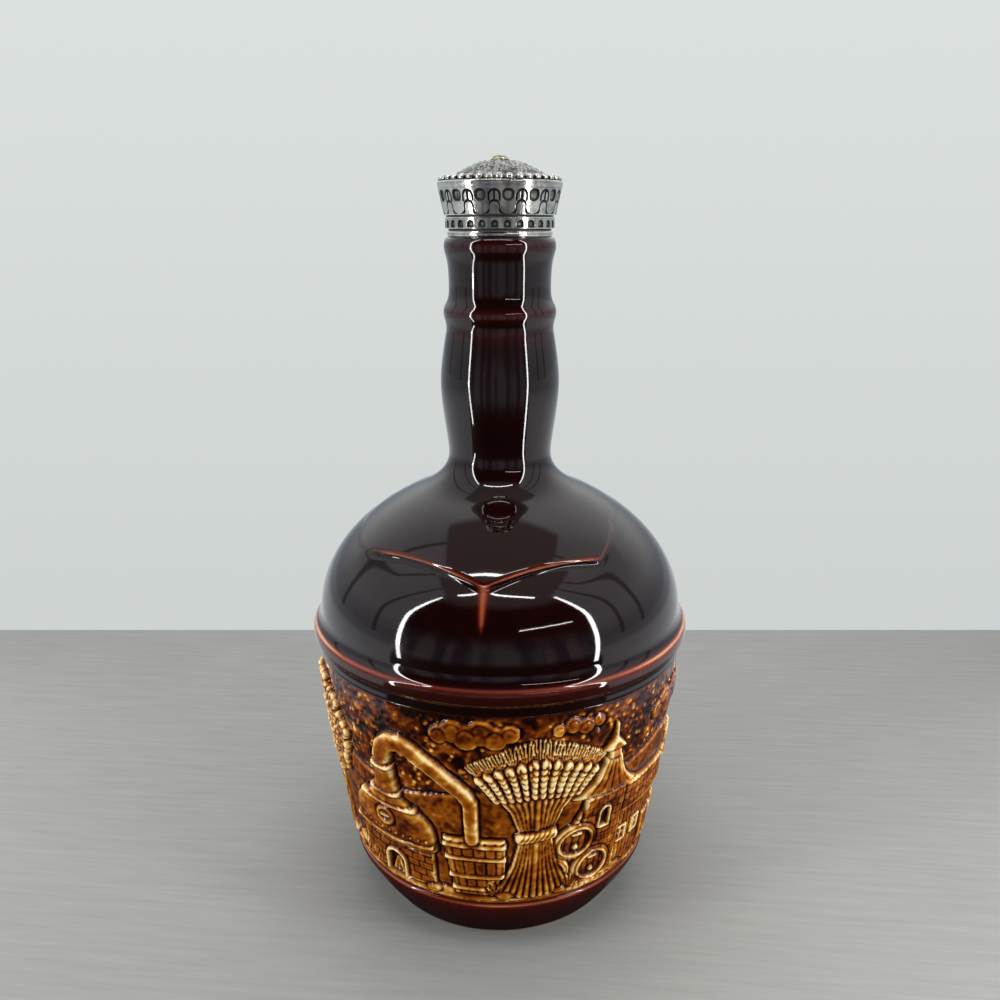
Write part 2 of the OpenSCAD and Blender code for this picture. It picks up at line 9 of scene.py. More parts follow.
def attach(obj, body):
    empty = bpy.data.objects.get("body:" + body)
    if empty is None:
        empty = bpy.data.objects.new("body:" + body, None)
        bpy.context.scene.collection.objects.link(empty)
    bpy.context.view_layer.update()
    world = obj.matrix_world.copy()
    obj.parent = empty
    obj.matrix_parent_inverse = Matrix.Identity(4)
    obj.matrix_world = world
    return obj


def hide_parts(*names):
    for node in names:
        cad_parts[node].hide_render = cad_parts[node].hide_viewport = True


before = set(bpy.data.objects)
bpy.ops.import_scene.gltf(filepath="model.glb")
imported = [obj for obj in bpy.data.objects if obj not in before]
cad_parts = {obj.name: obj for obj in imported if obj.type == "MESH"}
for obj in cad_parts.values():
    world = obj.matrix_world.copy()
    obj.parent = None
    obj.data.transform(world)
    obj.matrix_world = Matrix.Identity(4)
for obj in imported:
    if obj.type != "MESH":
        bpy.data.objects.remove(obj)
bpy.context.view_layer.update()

# Bottle base
# The foot and the plain base of the slip-cast bottle. It is dipped in dark brown glaze,
# and the ring that it stands on is wiped bare before the firing.
MM = 0.001
BASE_COLUMNS = 420
FOOT_R, FOOT_INNER_R, RECESS_R, RECESS_H = 39.0, 32.5, 30.7, 1.8
BASE_TOP = (48.0, 15.3)
BAND_FOOT = (47.5, 17.5)
FLOOR_Z, INNER_FOOT_R = 8.3, 42.0
BORDER_Z, BORDER_W = 16.9, 0.42
WIPED_Z, THINNING_H = 0.9, 15
PATH_STEP = 0.05
COATS = ("Pooled", "Deep", "Middle", "Thin", "Broken")
COAT_ENDS = ((0.0, 0.28), (0.22, 0.54), (0.5, 0.8), (0.76, 1.04))
BARE_CLAY = (176, 150, 116), (206, 184, 150)


def bend(a, b, c, d, steps):
    """Points of a cubic curve after a, up to and with d. It leaves towards b and comes from c."""
    t = np.linspace(0, 1, steps + 1)[1:, None]
    a, b, c, d = (np.array(p, float) for p in (a, b, c, d))
    return (1 - t) ** 3 * a + 3 * (1 - t) ** 2 * t * b + 3 * (1 - t) * t * t * c + t ** 3 * d


def along(points, step, soften=0.0):
    """A polyline of (radius, height) points again at even steps, with its corners softened."""
    points = np.asarray(points, float)
    run = np.r_[0, np.cumsum(np.hypot(*np.diff(points, axis=0).T))]
    fine = np.arange(0, run[-1] + PATH_STEP, PATH_STEP)
    path = np.stack([np.interp(fine, run, points[:, k]) for k in (0, 1)], 1)
    if soften:
        reach = int(3 * soften / PATH_STEP)
        weights = np.exp(-0.5 * (np.arange(-reach, reach + 1) * PATH_STEP / soften) ** 2)
        padded = np.pad(path, ((reach, reach), (0, 0)), mode="reflect", reflect_type="odd")
        path = np.stack([np.convolve(padded[:, k], weights / weights.sum(), "valid")
                         for k in (0, 1)], 1)
    rows = max(2, int(round(run[-1] / step)) + 1)
    places = np.linspace(0, len(path) - 1, rows)
    return np.stack([np.interp(places, np.arange(len(path)), path[:, k]) for k in (0, 1)], 1)


def bell(value, middle, width):
    return np.exp(-((value - middle) / width) ** 2)


def eased(share):
    """A share from 0 to 1 with soft ends."""
    return share * share * (3 - 2 * share)


def all_round(columns):
    return np.linspace(-math.pi, math.pi, columns, endpoint=False)


def turned(radius, height, azimuth):
    """Points round the axis, from rows of radius and height. Azimuth 0 faces the viewer."""
    radius, height = np.broadcast_arrays(radius, height)
    if radius.ndim == 1:
        radius, height = radius[:, None], height[:, None]
    radius, height, azimuth = np.broadcast_arrays(radius, height, azimuth)
    return np.stack([radius * np.sin(azimuth), -radius * np.cos(azimuth), height], -1)


def skin(name, rings, material, foot_pole=None, head_pole=None, looped=False, wrapped=True,
         ends=(), pole_value=None, **values):
    """A mesh from rows of points, closed by poles or looped back to its first row. A pole is a
    point or a height on the axis, and ends are faces across the open ends. Each of values is a
    number for every point, kept as an attribute of that name; poles have their own or the mean."""
    rows, columns = rings.shape[:2]
    points = rings.reshape(-1, 3)
    i = np.arange(rows if looped else rows - 1)[:, None]
    j = np.arange(columns if wrapped else columns - 1)[None, :]
    up, on = (i + 1) % rows, (j + 1) % columns
    quads = np.stack([i * columns + j, i * columns + on, up * columns + on, up * columns + j], -1)
    faces = quads.reshape(-1, 4).tolist() + list(ends)
    poles = []
    for pole, row, turn in ((foot_pole, 0, 1), (head_pole, rows - 1, -1)):
        if pole is not None:
            at = len(points) + len(poles)
            poles.append(pole if np.ndim(pole) else (0, 0, pole))
            ring = [row * columns + k for k in range(columns)]
            faces += [[at, *([ring[(k + 1) % columns], ring[k]][::turn])] for k in range(columns)]
    if poles:
        points = np.vstack([points, poles])
    mesh = bpy.data.meshes.new(name)
    mesh.from_pydata((points * MM).tolist(), [], faces)
    for key, value in values.items():
        flat_value = np.broadcast_to(value, (rows, columns)).ravel()
        at_poles = flat_value.mean() if pole_value is None else pole_value
        flat_value = np.r_[flat_value, np.full(len(poles), at_poles)].astype(np.float32)
        mesh.attributes.new(key, "FLOAT", "POINT").data.foreach_set("value", flat_value)
    mesh.shade_smooth()
    mesh.materials.append(material)
    piece = bpy.data.objects.new(name, mesh)
    bpy.context.scene.collection.objects.link(piece)
    return piece


def linear(red, green, blue):
    """A colour as it looks on screen, 0 to 255, in the renderer's linear light."""
    return [c / 12.92 if c <= 0.04045 else ((c + 0.055) / 1.055) ** 2.4
            for c in (red / 255, green / 255, blue / 255)] + [1.0]


def node_of(tree, kind, *terms, take=0, **settings):
    """The wire out of a new node. Its sockets are filled in their order by terms and by name by
    settings, each with a number, a colour or a wire. Settings also hold its properties."""
    node = tree.nodes.new(kind)
    sockets = []
    for key, value in settings.items():
        if hasattr(node, key):
            setattr(node, key, value)
        else:
            sockets.append((node.inputs[key.replace("_", " ")], value))
    for socket, term in [*zip(node.inputs, terms), *sockets]:
        if isinstance(term, Wire):
            term.to(socket)
        elif term is not None:
            socket.default_value = term
    return Wire(tree, node.outputs[take])


class Wire:
    """What comes out of a socket in a node tree, for sums with numbers and with other wires."""

    def __init__(self, tree, socket):
        self.tree, self.socket = tree, socket

    def to(self, socket):
        self.tree.links.new(self.socket, socket)

    def math(self, operation, *terms):
        return node_of(self.tree, "ShaderNodeMath", self, *terms, operation=operation)

    def __add__(self, term):
        return self.math("ADD", term)

    def __sub__(self, term):
        return self.math("SUBTRACT", term)

    def __mul__(self, term):
        return self.math("MULTIPLY", term)

    def __truediv__(self, term):
        return self.math("DIVIDE", term)

    def ramp(self, low, high):
        """This value spread from low to high onto 0 to 1 with soft ends."""
        return node_of(self.tree, "ShaderNodeMapRange", self, low, high,
                       interpolation_type="SMOOTHSTEP")

    def mix(self, first, second):
        """The first colour where this is 0, and the second where it is 1."""
        return node_of(self.tree, "ShaderNodeMix", self, *[None] * 5, first, second, take=2,
                       data_type="RGBA")

    def noise(self, scale, detail=2.0, rough=0.5):
        """A noise texture read at this place, from 0 to 1."""
        return node_of(self.tree, "ShaderNodeTexNoise", self, Scale=scale, Detail=detail,
                       Roughness=rough)

    def stretched(self, *scale):
        """This place with its three directions scaled."""
        return node_of(self.tree, "ShaderNodeMapping", self, vector_type="POINT", Scale=scale)

    def parts(self):
        """The three directions of this place."""
        split = node_of(self.tree, "ShaderNodeSeparateXYZ", self).socket.node
        return [Wire(self.tree, socket) for socket in split.outputs]


def new_finish(name):
    """A new material, the inputs of its shader and the place on the object."""
    material = bpy.data.materials.new(name)
    material.use_nodes = True
    tree = material.node_tree
    return (material, tree.nodes["Principled BSDF"].inputs,
            node_of(tree, "ShaderNodeTexCoord", take="Object"))


def kept_on_mesh(tree, key):
    return node_of(tree, "ShaderNodeAttribute", attribute_name=key, take="Fac")


def bump(shader, height, strength, deep_mm):
    node_of(height.tree, "ShaderNodeBump", Strength=strength, Distance=deep_mm * MM,
            Height=height).to(shader["Normal"])


def make_glaze_group():
    """Fired glaze: dark where it pools, clear brown where it runs thin, and pale where it
    breaks over an edge. The thinness comes in for each point and is roughened by two grains."""
    group = bpy.data.node_groups.new("pooled_glaze", "ShaderNodeTree")
    for in_out, kind, names in (
            ("INPUT", "Float", ("Thinness", "Mottle", "Mottle scale", "Orange peel")),
            ("INPUT", "Color", COATS), ("OUTPUT", "Color", ("Color",)),
            ("OUTPUT", "Float", ("Height",))):
        for name in names:
            group.interface.new_socket(name=name, in_out=in_out, socket_type="NodeSocket" + kind)
    given = {s.name: Wire(group, s) for s in group.nodes.new("NodeGroupInput").outputs}
    place = node_of(group, "ShaderNodeTexCoord", take="Object")
    grain = (place.noise(given["Mottle scale"], 3.0) * 0.6
             + place.noise(given["Mottle scale"] * 3.7) * 0.4)
    thin = given["Thinness"] + (grain - 0.5) * given["Mottle"]
    colour = given[COATS[0]]
    for coat, ends in zip(COATS[1:], COAT_ENDS):
        colour = thin.ramp(*ends).mix(colour, given[coat])
    out = group.nodes.new("NodeGroupOutput").inputs
    colour.to(out["Color"])
    (place.noise(42.0, 1.0) + place.noise(900.0, 1.0) * given["Orange peel"]).to(out["Height"])
    return group


glaze_group = make_glaze_group()


def glazed(name, coats, mottle, mottle_scale, roughness, wave_mm, peel):
    """A fired glaze over ceramic, coloured by the thinness kept on the mesh. Its coats go from
    where it pools to where it breaks."""
    material, shader, place = new_finish(name)
    tree = place.tree
    colour = node_of(tree, "ShaderNodeGroup", node_tree=glaze_group, Mottle=mottle,
                     Mottle_scale=mottle_scale, Orange_peel=peel,
                     Thinness=kept_on_mesh(tree, "thinness"),
                     **{coat: linear(*shade) for coat, shade in zip(COATS, coats)})
    bump(shader, Wire(tree, colour.socket.node.outputs["Height"]), 1.0, wave_mm)
    bare = kept_on_mesh(tree, "bare")
    clay = place.noise(900.0, 4.0, 0.6).mix(*(linear(*shade) for shade in BARE_CLAY))
    bare.mix(colour, clay).to(shader["Base Color"])
    bare.math("MULTIPLY_ADD", 0.8, roughness).to(shader["Roughness"])
    shader["IOR"].default_value = 1.52
    return material


dark_glaze = glazed(
    "dark_glaze", ((10, 2, 2), (38, 7, 5), (88, 26, 13), (136, 66, 42), (192, 140, 106)),
    mottle=0.14, mottle_scale=260.0, roughness=0.045, wave_mm=0.16, peel=0.02)

base_outside = np.vstack([
    [(FOOT_R - 0.5, 0.0), (FOOT_R - 0.1, 0.15)],
    bend((FOOT_R, 0.4), (42.6, 5.5), (45.9, 10.7), BASE_TOP, 40),
    [(BASE_TOP[0], BAND_FOOT[1] - 0.5), BAND_FOOT]])
base_rows = np.vstack([
    [(10, RECESS_H), (20, RECESS_H), (RECESS_R - 1, RECESS_H), (RECESS_R, RECESS_H - 0.2),
     (FOOT_INNER_R - 0.4, 0.35), (FOOT_INNER_R + 0.2, 0.0)],
    along(base_outside, 0.4, soften=0.25),
    [(INNER_FOOT_R, BAND_FOOT[1])],
    bend((INNER_FOOT_R, BAND_FOOT[1]), (40.5, 12.0), (36.8, FLOOR_Z), (30.2, FLOOR_Z), 10),
    [(20, FLOOR_Z), (10, FLOOR_Z)]])
base_azimuth = all_round(BASE_COLUMNS)
base_r, base_z = base_rows[:, :1], base_rows[:, 1:]
on_border = bell(base_z, BORDER_Z, BORDER_W) * (base_r > 46)
base_drift = np.interp(np.sin(5 * base_azimuth) + np.sin(11 * base_azimuth + 1),
                       [-2, 2], [0.55, 1])
base_thin = 0.24 + 0.66 * on_border * base_drift + 0.1 * np.clip(base_z / THINNING_H, 0, 1)
wiped_z = WIPED_Z + 0.15 * np.sin(3 * base_azimuth) + 0.08 * np.sin(13 * base_azimuth + 2)
base_bare = np.clip((wiped_z - base_z) / 0.3, 0, 1) * ((base_r > RECESS_R - 0.5) & (base_z < 3))
bottle_base = skin("bottle_base", turned(base_r, base_z, base_azimuth), dark_glaze,
                   foot_pole=RECESS_H, head_pole=FLOOR_Z, thinness=base_thin, bare=base_bare)
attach(bottle_base, "bottle")
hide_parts("bottle_body")

# Relief band
# The moulded picture round the bottle, cast with the wall: a distillery yard at harvest.
# Its honey glaze runs off the raised edges, which fire pale, and pools dark in the hollows.
BAND_HEAD = (56.3, 83.8)
BAND_COLUMNS, BAND_ROWS, INNER_ROWS = 960, 196, 6
INNER_HEAD_R = 49.2
BAND_MID_R = 52.5
WIDEST_FORM = 60
GROUND = 5.0
FOOT = GROUND - 0.9
relief_dice = np.random.default_rng(7)

band_curve = bend(BAND_FOOT, (49.26, 35.4), (55.86, 65.2), BAND_HEAD, 60)
band_path = along(np.vstack([[BAND_FOOT], band_curve]), 0.05)
band_turn = all_round(BAND_COLUMNS)
band_z = np.linspace(BAND_FOOT[1], BAND_HEAD[1], BAND_ROWS)
band_r = np.interp(band_z, band_path[:, 1], band_path[:, 0])
up = band_z - BAND_FOOT[1]
BAND_UP = up[-1]
relief = np.zeros((BAND_COLUMNS, BAND_ROWS))
covered = np.zeros((BAND_COLUMNS, BAND_ROWS))


# Each form here is a function of x and y: the distance to its outline, negative inside
def disc(cx, cy, r):
    return lambda x, y: np.hypot(x - cx, y - cy) - r


def egg(cx, cy, rx, ry, turn=0.0):
    """An oval, near enough for a distance."""
    c, s = math.cos(turn), math.sin(turn)
    return lambda x, y: (np.hypot(((x - cx) * c + (y - cy) * s) / rx,
                                  ((y - cy) * c - (x - cx) * s) / ry) - 1) * min(rx, ry)


def block(x0, y0, x1, y1):
    return lambda x, y: np.maximum(np.abs(x - (x0 + x1) / 2) - (x1 - x0) / 2,
                                   np.abs(y - (y0 + y1) / 2) - (y1 - y0) / 2)


def bar(x0, y0, x1, y1, r0, r1=None):
    """A round-ended bar that may taper."""
    r1 = r0 if r1 is None else r1
    dx, dy = x1 - x0, y1 - y0

    def distance(x, y):
        t = np.clip(((x - x0) * dx + (y - y0) * dy) / (dx * dx + dy * dy + 1e-9), 0, 1)
        return np.hypot(x - x0 - t * dx, y - y0 - t * dy) - (r0 + (r1 - r0) * t)

    return distance


def joined(*forms):
    return lambda x, y: np.minimum.reduce([form(x, y) for form in forms])


def pipe(points, r0, r1=None):
    """A bent bar through points."""
    r1 = r0 if r1 is None else r1
    r = [r0 + (r1 - r0) * k / (len(points) - 1) for k in range(len(points))]
    return joined(*[bar(*points[k - 1], *points[k], r[k - 1], r[k]) for k in range(1, len(r))])


def flat(points):
    """The inside of a polygon."""
    points = np.asarray(points, float)

    def distance(x, y):
        shape = np.broadcast(x, y).shape
        best, inside = np.full(shape, 1e9), np.zeros(shape, bool)
        for (ax, ay), (bx, by) in zip(points, np.roll(points, -1, 0)):
            dx, dy = bx - ax, by - ay
            t = np.clip(((x - ax) * dx + (y - ay) * dy) / (dx * dx + dy * dy + 1e-12), 0, 1)
            best = np.minimum(best, np.hypot(x - ax - t * dx, y - ay - t * dy))
            crosses = (ay > y) != (by > y)
            with np.errstate(divide="ignore", invalid="ignore"):
                inside ^= crosses & (x < (bx - ax) * (y - ay) / (by - ay + 1e-12) + ax)
        return np.where(inside, -best, best)

    return distance


def flowing(points, steps=6):
    """A closed outline that runs smoothly through points."""
    p = np.asarray(points, float)
    out = []
    for k in range(len(p)):
        a, b, c, d = p[k - 1], p[k], p[(k + 1) % len(p)], p[(k + 2) % len(p)]
        for t in np.arange(steps) / steps:
            out.append(0.5 * (2 * b + (c - a) * t + (2 * a - 5 * b + 4 * c - d) * t ** 2
                              + (3 * b - a - 3 * c + d) * t ** 3))
    return np.array(out)


def both_sides(points):
    """An outline from its left half."""
    return points + [(-x, y) for x, y in reversed(points)]


def upright_line(x0, low=-99, high=99, half=99):
    """A line up the band, within a height and a half width."""
    return lambda x, y: np.abs(x - x0) + 9 * ((y < low) | (y > high) | (np.abs(x) > half))


def level_line(y0, half):
    return lambda x, y: np.abs(y - y0) + 9 * (np.abs(x) > half)


def beside(spot, shift):
    """A place to the right of a spot. A spot is a turn round the band and a shift across it."""
    return spot[0], spot[1] + shift


def window(spot, span, low, high):
    """The part of the band within reach of a form, and its points measured from the spot.
    Wide grounds are measured round the band, and forms straight across, as they are cut."""
    turn = (band_turn - math.radians(spot[0]) + math.pi) % (2 * math.pi) - math.pi
    round_it = span > WIDEST_FORM
    reach = BAND_MID_R * (turn if round_it else np.sin(turn))
    columns = np.flatnonzero((np.abs(reach - spot[1]) < span / 2 + 4)
                             & (np.abs(turn) < (3.2 if round_it else 1.3)))
    rows = np.flatnonzero((up > low - 3) & (up < high + 3))
    widened = 1 if round_it else band_r[rows][None, :] / BAND_MID_R
    return np.ix_(columns, rows), reach[columns][:, None] * widened - spot[1], up[rows][None, :]


def press(spot, span, low, high, form, height, edge=0.8, start=0.35, groove=0.5, reach=0.7):
    """Raises one form on the band: a pillow with a rounded edge, in a groove of its own."""
    where, x, y = window(spot, span, low, high)
    d = form(x, y)
    share = np.clip(-d / edge, 0, 1)
    raised = height * (start + (1 - start) * np.sqrt(1 - (1 - share) ** 2))
    relief[where] = np.where(d < 0, raised, relief[where] - groove * np.exp(-(d / reach) ** 2))
    covered[where] = np.where(d < 0, 1, covered[where])


def score(spot, span, low, high, form, depth, width=0.28):
    """Cuts a line along a form's edge."""
    where, x, y = window(spot, span, low, high)
    relief[where] -= depth * np.exp(-(form(x, y) / width) ** 2)


def within(spot, span, low, high, form, depth, edge=0.5):
    """Sinks the whole inside of a form."""
    where, x, y = window(spot, span, low, high)
    relief[where] -= depth * np.clip(-form(x, y) / edge, 0, 1)


def hills(turn, span, points, height):
    """A far hill: the band stands a little higher below its line."""
    xs, ys = zip(*points)
    press((turn, 0), span, GROUND, max(ys), lambda x, y: y - np.interp(x, xs, ys), height,
          edge=1.2, start=0.2, groove=0.35, reach=1.0)


def clouds(turn, high, wide, count):
    """A low bank of billowed cloud, its lobes edged by a scored line."""
    lobes = []
    for k in range(count):
        size = wide * (0.10 + 0.07 * math.sin(math.pi * (k + 0.5) / count))
        lobes.append((wide * 0.8 * (k / (count - 1) - 0.5),
                      high + 0.35 * size * (1 if k % 2 else -0.2), size))
    press((turn, 0), wide * 1.2, high - wide / 5, high + wide / 4,
          joined(*[disc(*lobe) for lobe in lobes]), 0.85, edge=2.0, start=0.2, groove=0.3,
          reach=0.9)
    for cx, cy, size in lobes:
        rim = disc(0, cy, 0.6 * size)
        score((turn, cx), 2 * size, cy - size, cy + size, lambda x, y: np.abs(rim(x, y))
              + 0.5 * np.clip(0.3 * size - (y - cy), 0, 9), 0.3, 0.32)


def tree(spot, tall, spread, trunk=2.6):
    """A leafy tree: a forked trunk with bark, under clumps of leaves that catch the light."""
    press(spot, 4 * trunk, FOOT, tall * 0.62, flat(flowing(both_sides([
        (-1.9 * trunk, FOOT), (-0.8 * trunk, FOOT + 6), (-0.7 * trunk, tall * 0.4),
        (-1.5 * trunk, tall * 0.6)]))), 1.6, edge=1.8)
    for k in (-0.45, 0.0, 0.45):
        score(spot, 3 * trunk, FOOT + 3, tall * 0.5,
              lambda x, y: np.abs(x - k * trunk - 0.3 * np.sin(y * 0.9 + 5 * k)), 0.35)
    count = int(spread * 2.1)
    middle, rise = FOOT + 0.68 * (tall - FOOT), 0.26 * (tall - FOOT)
    for k in range(count):
        angle = k * 2.39996
        out = math.sqrt((k + 0.5) / count)
        clump = beside(spot, 0.42 * spread * out * math.cos(angle))
        cy = middle + rise * out * math.sin(angle)
        size = relief_dice.uniform(2.4, 3.5) * (1.15 - 0.3 * out)
        leaves = [disc(size * 0.62 * math.cos(q), cy + size * 0.62 * math.sin(q), size * 0.52)
                  for q in relief_dice.uniform(0, 6.28) + np.arange(5) * 1.2566]
        press(clump, 2.6 * size, cy - size, cy + size, joined(*leaves, disc(0, cy, size * 0.5)),
              relief_dice.uniform(1.5, 2.1), edge=1.1, start=0.3, groove=0.6, reach=0.6)
        score(clump, 2 * size, cy - size, cy + size, disc(0, cy, size * 0.42), 0.35, 0.3)


def staved(spot, tall, foot, belly, head, height, staves):
    """An upright tub or cask with staves and hoops."""
    low, high = FOOT, FOOT + tall
    stations, halves = [low, (low + high) / 2, high], [foot, belly, head]
    side = [(-half, y0) for half, y0 in zip(halves, stations)]
    press(spot, 2 * belly, low, high, flat(both_sides(side)), height, edge=2.2, start=0.4)
    for k in range(1, staves):
        share = math.sin(math.pi * (k / staves - 0.5))
        score(spot, 2 * belly, low + 1, high - 1,
              lambda x, y: np.abs(x - share * np.interp(y, stations, halves))
              + 9 * ((y < low + 0.8) | (y > high - 0.8)), 0.42, 0.26)
    for share in (0.14, 0.36, 0.68, 0.9):
        y0 = low + share * tall
        wide = np.interp(y0, stations, halves)
        press(spot, 2 * wide, y0 - 1, y0 + 1, block(-wide - 0.2, y0 - 0.62, wide + 0.2, y0 + 0.62),
              height + 0.35, edge=0.5, start=0.75, groove=0.25, reach=0.4)


def cask_head(spot, cy, r):
    """A cask seen on its head: hoop, chime, boards and a turned tap."""
    reach = (spot, 2 * r, cy - r, cy + r)
    press(*reach, disc(0, cy, r), 2.0, edge=1.4, start=0.4, groove=0.7)
    score(*reach, disc(0, cy, r * 0.87), 0.5, 0.3)
    within(*reach, disc(0, cy, r * 0.76), 0.9, 0.6)
    for k in (-0.5, -0.17, 0.17, 0.5):
        score(*reach, lambda x, y: np.abs(x - k * r) + 9 * (np.hypot(x, y - cy) > r * 0.72),
              0.35, 0.25)
    press(spot, 5, cy - 3, cy + 3, disc(0, cy - 0.3 * r, r * 0.15), 1.9, edge=0.8, start=0.5,
          groove=0.3)
    press(spot, 5, cy - 3, cy + 3, bar(-r * 0.2, cy + 0.42 * r, r * 0.2, cy + 0.42 * r, 0.5), 1.7,
          edge=0.5, groove=0.2)


def sheaf(spot, size, lean=0.0):
    """A sheaf of barley, bound at its waist, with bearded ears over it."""
    waist, head = FOOT + 22 * size, FOOT + 35.5 * size
    press(spot, 24 * size, FOOT, head, flat(flowing(both_sides([
        (-10.4 * size, FOOT), (-5.7 * size, FOOT + 11 * size), (-4.0 * size, waist),
        (-7.2 * size, waist + 9 * size), (-9 * size, head)]))), 1.4, edge=1.6)
    for q in sorted(np.linspace(-1, 1, 11), key=lambda q: -abs(q)):
        points = [(9.8 * size * q, FOOT), (5.5 * size * q, FOOT + 11 * size),
                  (3.4 * size * q, waist), (6.6 * size * q, waist + 9 * size),
                  ((10.0 * q + 1.5 * lean) * size, head)]
        press(spot, 24 * size, FOOT, head, pipe(points, 0.92 * size ** 0.5),
              2.0 - 0.5 * abs(q), edge=0.75, start=0.4, groove=0.35, reach=0.45)
        x0, y0 = points[-1]
        angle = math.radians(90 - 36 * q - 6 * lean)
        dx, dy = math.cos(angle), math.sin(angle)
        long = (12.5 - 3.2 * abs(q)) * size
        tip_x, tip_y = dx * long * 0.6, y0 + dy * long * 0.6
        for k in range(-2, 3):
            beard = angle + 0.12 * k
            press(beside(spot, x0), 26 * size, y0, y0 + 1.7 * long, bar(
                tip_x, tip_y, tip_x + math.cos(beard) * long * 0.85,
                tip_y + math.sin(beard) * long * 0.85, 0.36, 0.2), 1.1, edge=0.35,
                start=0.6, groove=0.25, reach=0.35)
        for k in range(6):
            for side in (-1, 1):
                kx = dx * long * (0.06 + k / 6.2) - dy * side * 1.15 * size
                ky = y0 + dy * long * (0.06 + k / 6.2) + dx * side * 1.15 * size
                press(beside(spot, x0), 20 * size, y0 - 2, y0 + 1.4 * long,
                      egg(kx, ky, 1.5 * size ** 0.6, 0.9 * size ** 0.6, angle + side * 0.35),
                      2.1, edge=0.75, start=0.4, groove=0.32, reach=0.4)
    press(spot, 12 * size, waist - 3, waist + 3,
          bar(-4.2 * size, waist - 0.5, 4.2 * size, waist + 0.5, 1.7 * size), 2.5, edge=1.1)
    for k in range(-3, 4):
        score(spot, 11 * size, waist - 2, waist + 2, lambda x, y: np.abs(
            (x - 1.3 * size * k) - 0.6 * (y - waist))
            + 9 * (np.abs(y - waist) > 1.7 * size), 0.4, 0.22)


def bricks(spot, half, courses, first, course, pitch, each_side, depth, width):
    """Scored courses of bricks, laid half a brick over in turn."""
    for row in range(courses):
        y0 = FOOT + first + course * row
        score(spot, 2 * half + 2, y0 - 1, y0 + 1, level_line(y0, half), depth, width)
        for k in range(-each_side, each_side + 1):
            x0 = pitch * k + (pitch / 2 if row % 2 else 0)
            score(spot, 2 * half + 2, y0, y0 + course, upright_line(x0, y0, y0 + course, half),
                  depth - 0.02, width)


def pot_still(spot):
    """A copper pot still on its brick furnace, with a swan neck over to its tub."""
    staved(beside(spot, 25.4), 21, 6.2, 7.6, 8.4, 1.8, 8)
    press(spot, 30, FOOT, 18, block(-13.6, FOOT, 13.6, FOOT + 13.5), 1.2, edge=0.7)
    bricks(spot, 13, 5, 1.1, 2.5, 4.2, 3, 0.38, 0.22)
    arch_y = FOOT + 5.5
    press(spot, 12, FOOT, 15, joined(disc(0, arch_y, 4.3), block(-4.3, FOOT, 4.3, arch_y)), 1.8,
          edge=0.6, groove=0.4)
    within(spot, 12, FOOT, 15, joined(disc(0, arch_y, 3.2), block(-3.2, FOOT, 3.2, arch_y)),
           1.9, 0.4)
    for k in (-1.6, 0, 1.6):
        press(spot, 8, FOOT, 13, bar(k, FOOT + 1, k * 0.4, FOOT + 5, 0.75, 0.3), 0.7, edge=0.5,
              groove=0.2)
    press(spot, 34, 16, 54, flat(flowing([
        (-12.4, 17.2), (-14.8, 21.9), (-13.6, 28), (-9.2, 32.2), (-5.2, 34.8), (-3.9, 40),
        (-3.2, 46), (-2.7, 51), (2.0, 50), (3.0, 48), (3.8, 40), (5.2, 34.8), (9.2, 32.2),
        (13.6, 28), (14.8, 21.9), (12.4, 17.2)])), 2.3, edge=3.0, start=0.25, groove=0.7)
    press(spot, 62, 22, 60, pipe([
        (0, 47.5), (0.9, 51.3), (3.2, 53.4), (6.5, 54.0), (10, 52.6), (17, 47.5), (24, 41.4),
        (25.9, 38), (26, 25)], 3.0, 2.0), 2.1, edge=1.7, groove=0.6)
    for y0, half in ((19.3, 14.2), (31.3, 10.0), (35.4, 5.2), (44.5, 3.6)):
        press(spot, 2 * half, y0 - 1, y0 + 2, lambda x, y: np.maximum(
            np.abs(y - y0 - 0.9 * (x / half) ** 2) - 0.6, np.abs(x) - half),
            2.6, edge=0.5, start=0.8, groove=0.3, reach=0.4)
    for k in range(-5, 6):
        x0 = 2.5 * k
        press(beside(spot, x0), 3, 20, 24, disc(0, 21.7 + 0.8 * (x0 / 14) ** 2, 0.55), 2.7,
              edge=0.5, start=0.7, groove=0.15, reach=0.3)
    manhole = (beside(spot, -1), 9, 22, 32)
    press(*manhole, disc(0, 26.6, 3.4), 2.6, start=0.7)
    within(*manhole, disc(0, 26.6, 2.3), 0.7, 0.6)
    press(*manhole, bar(-1.6, 26.6, 1.6, 26.6, 0.5), 2.6, edge=0.5, groove=0.2)


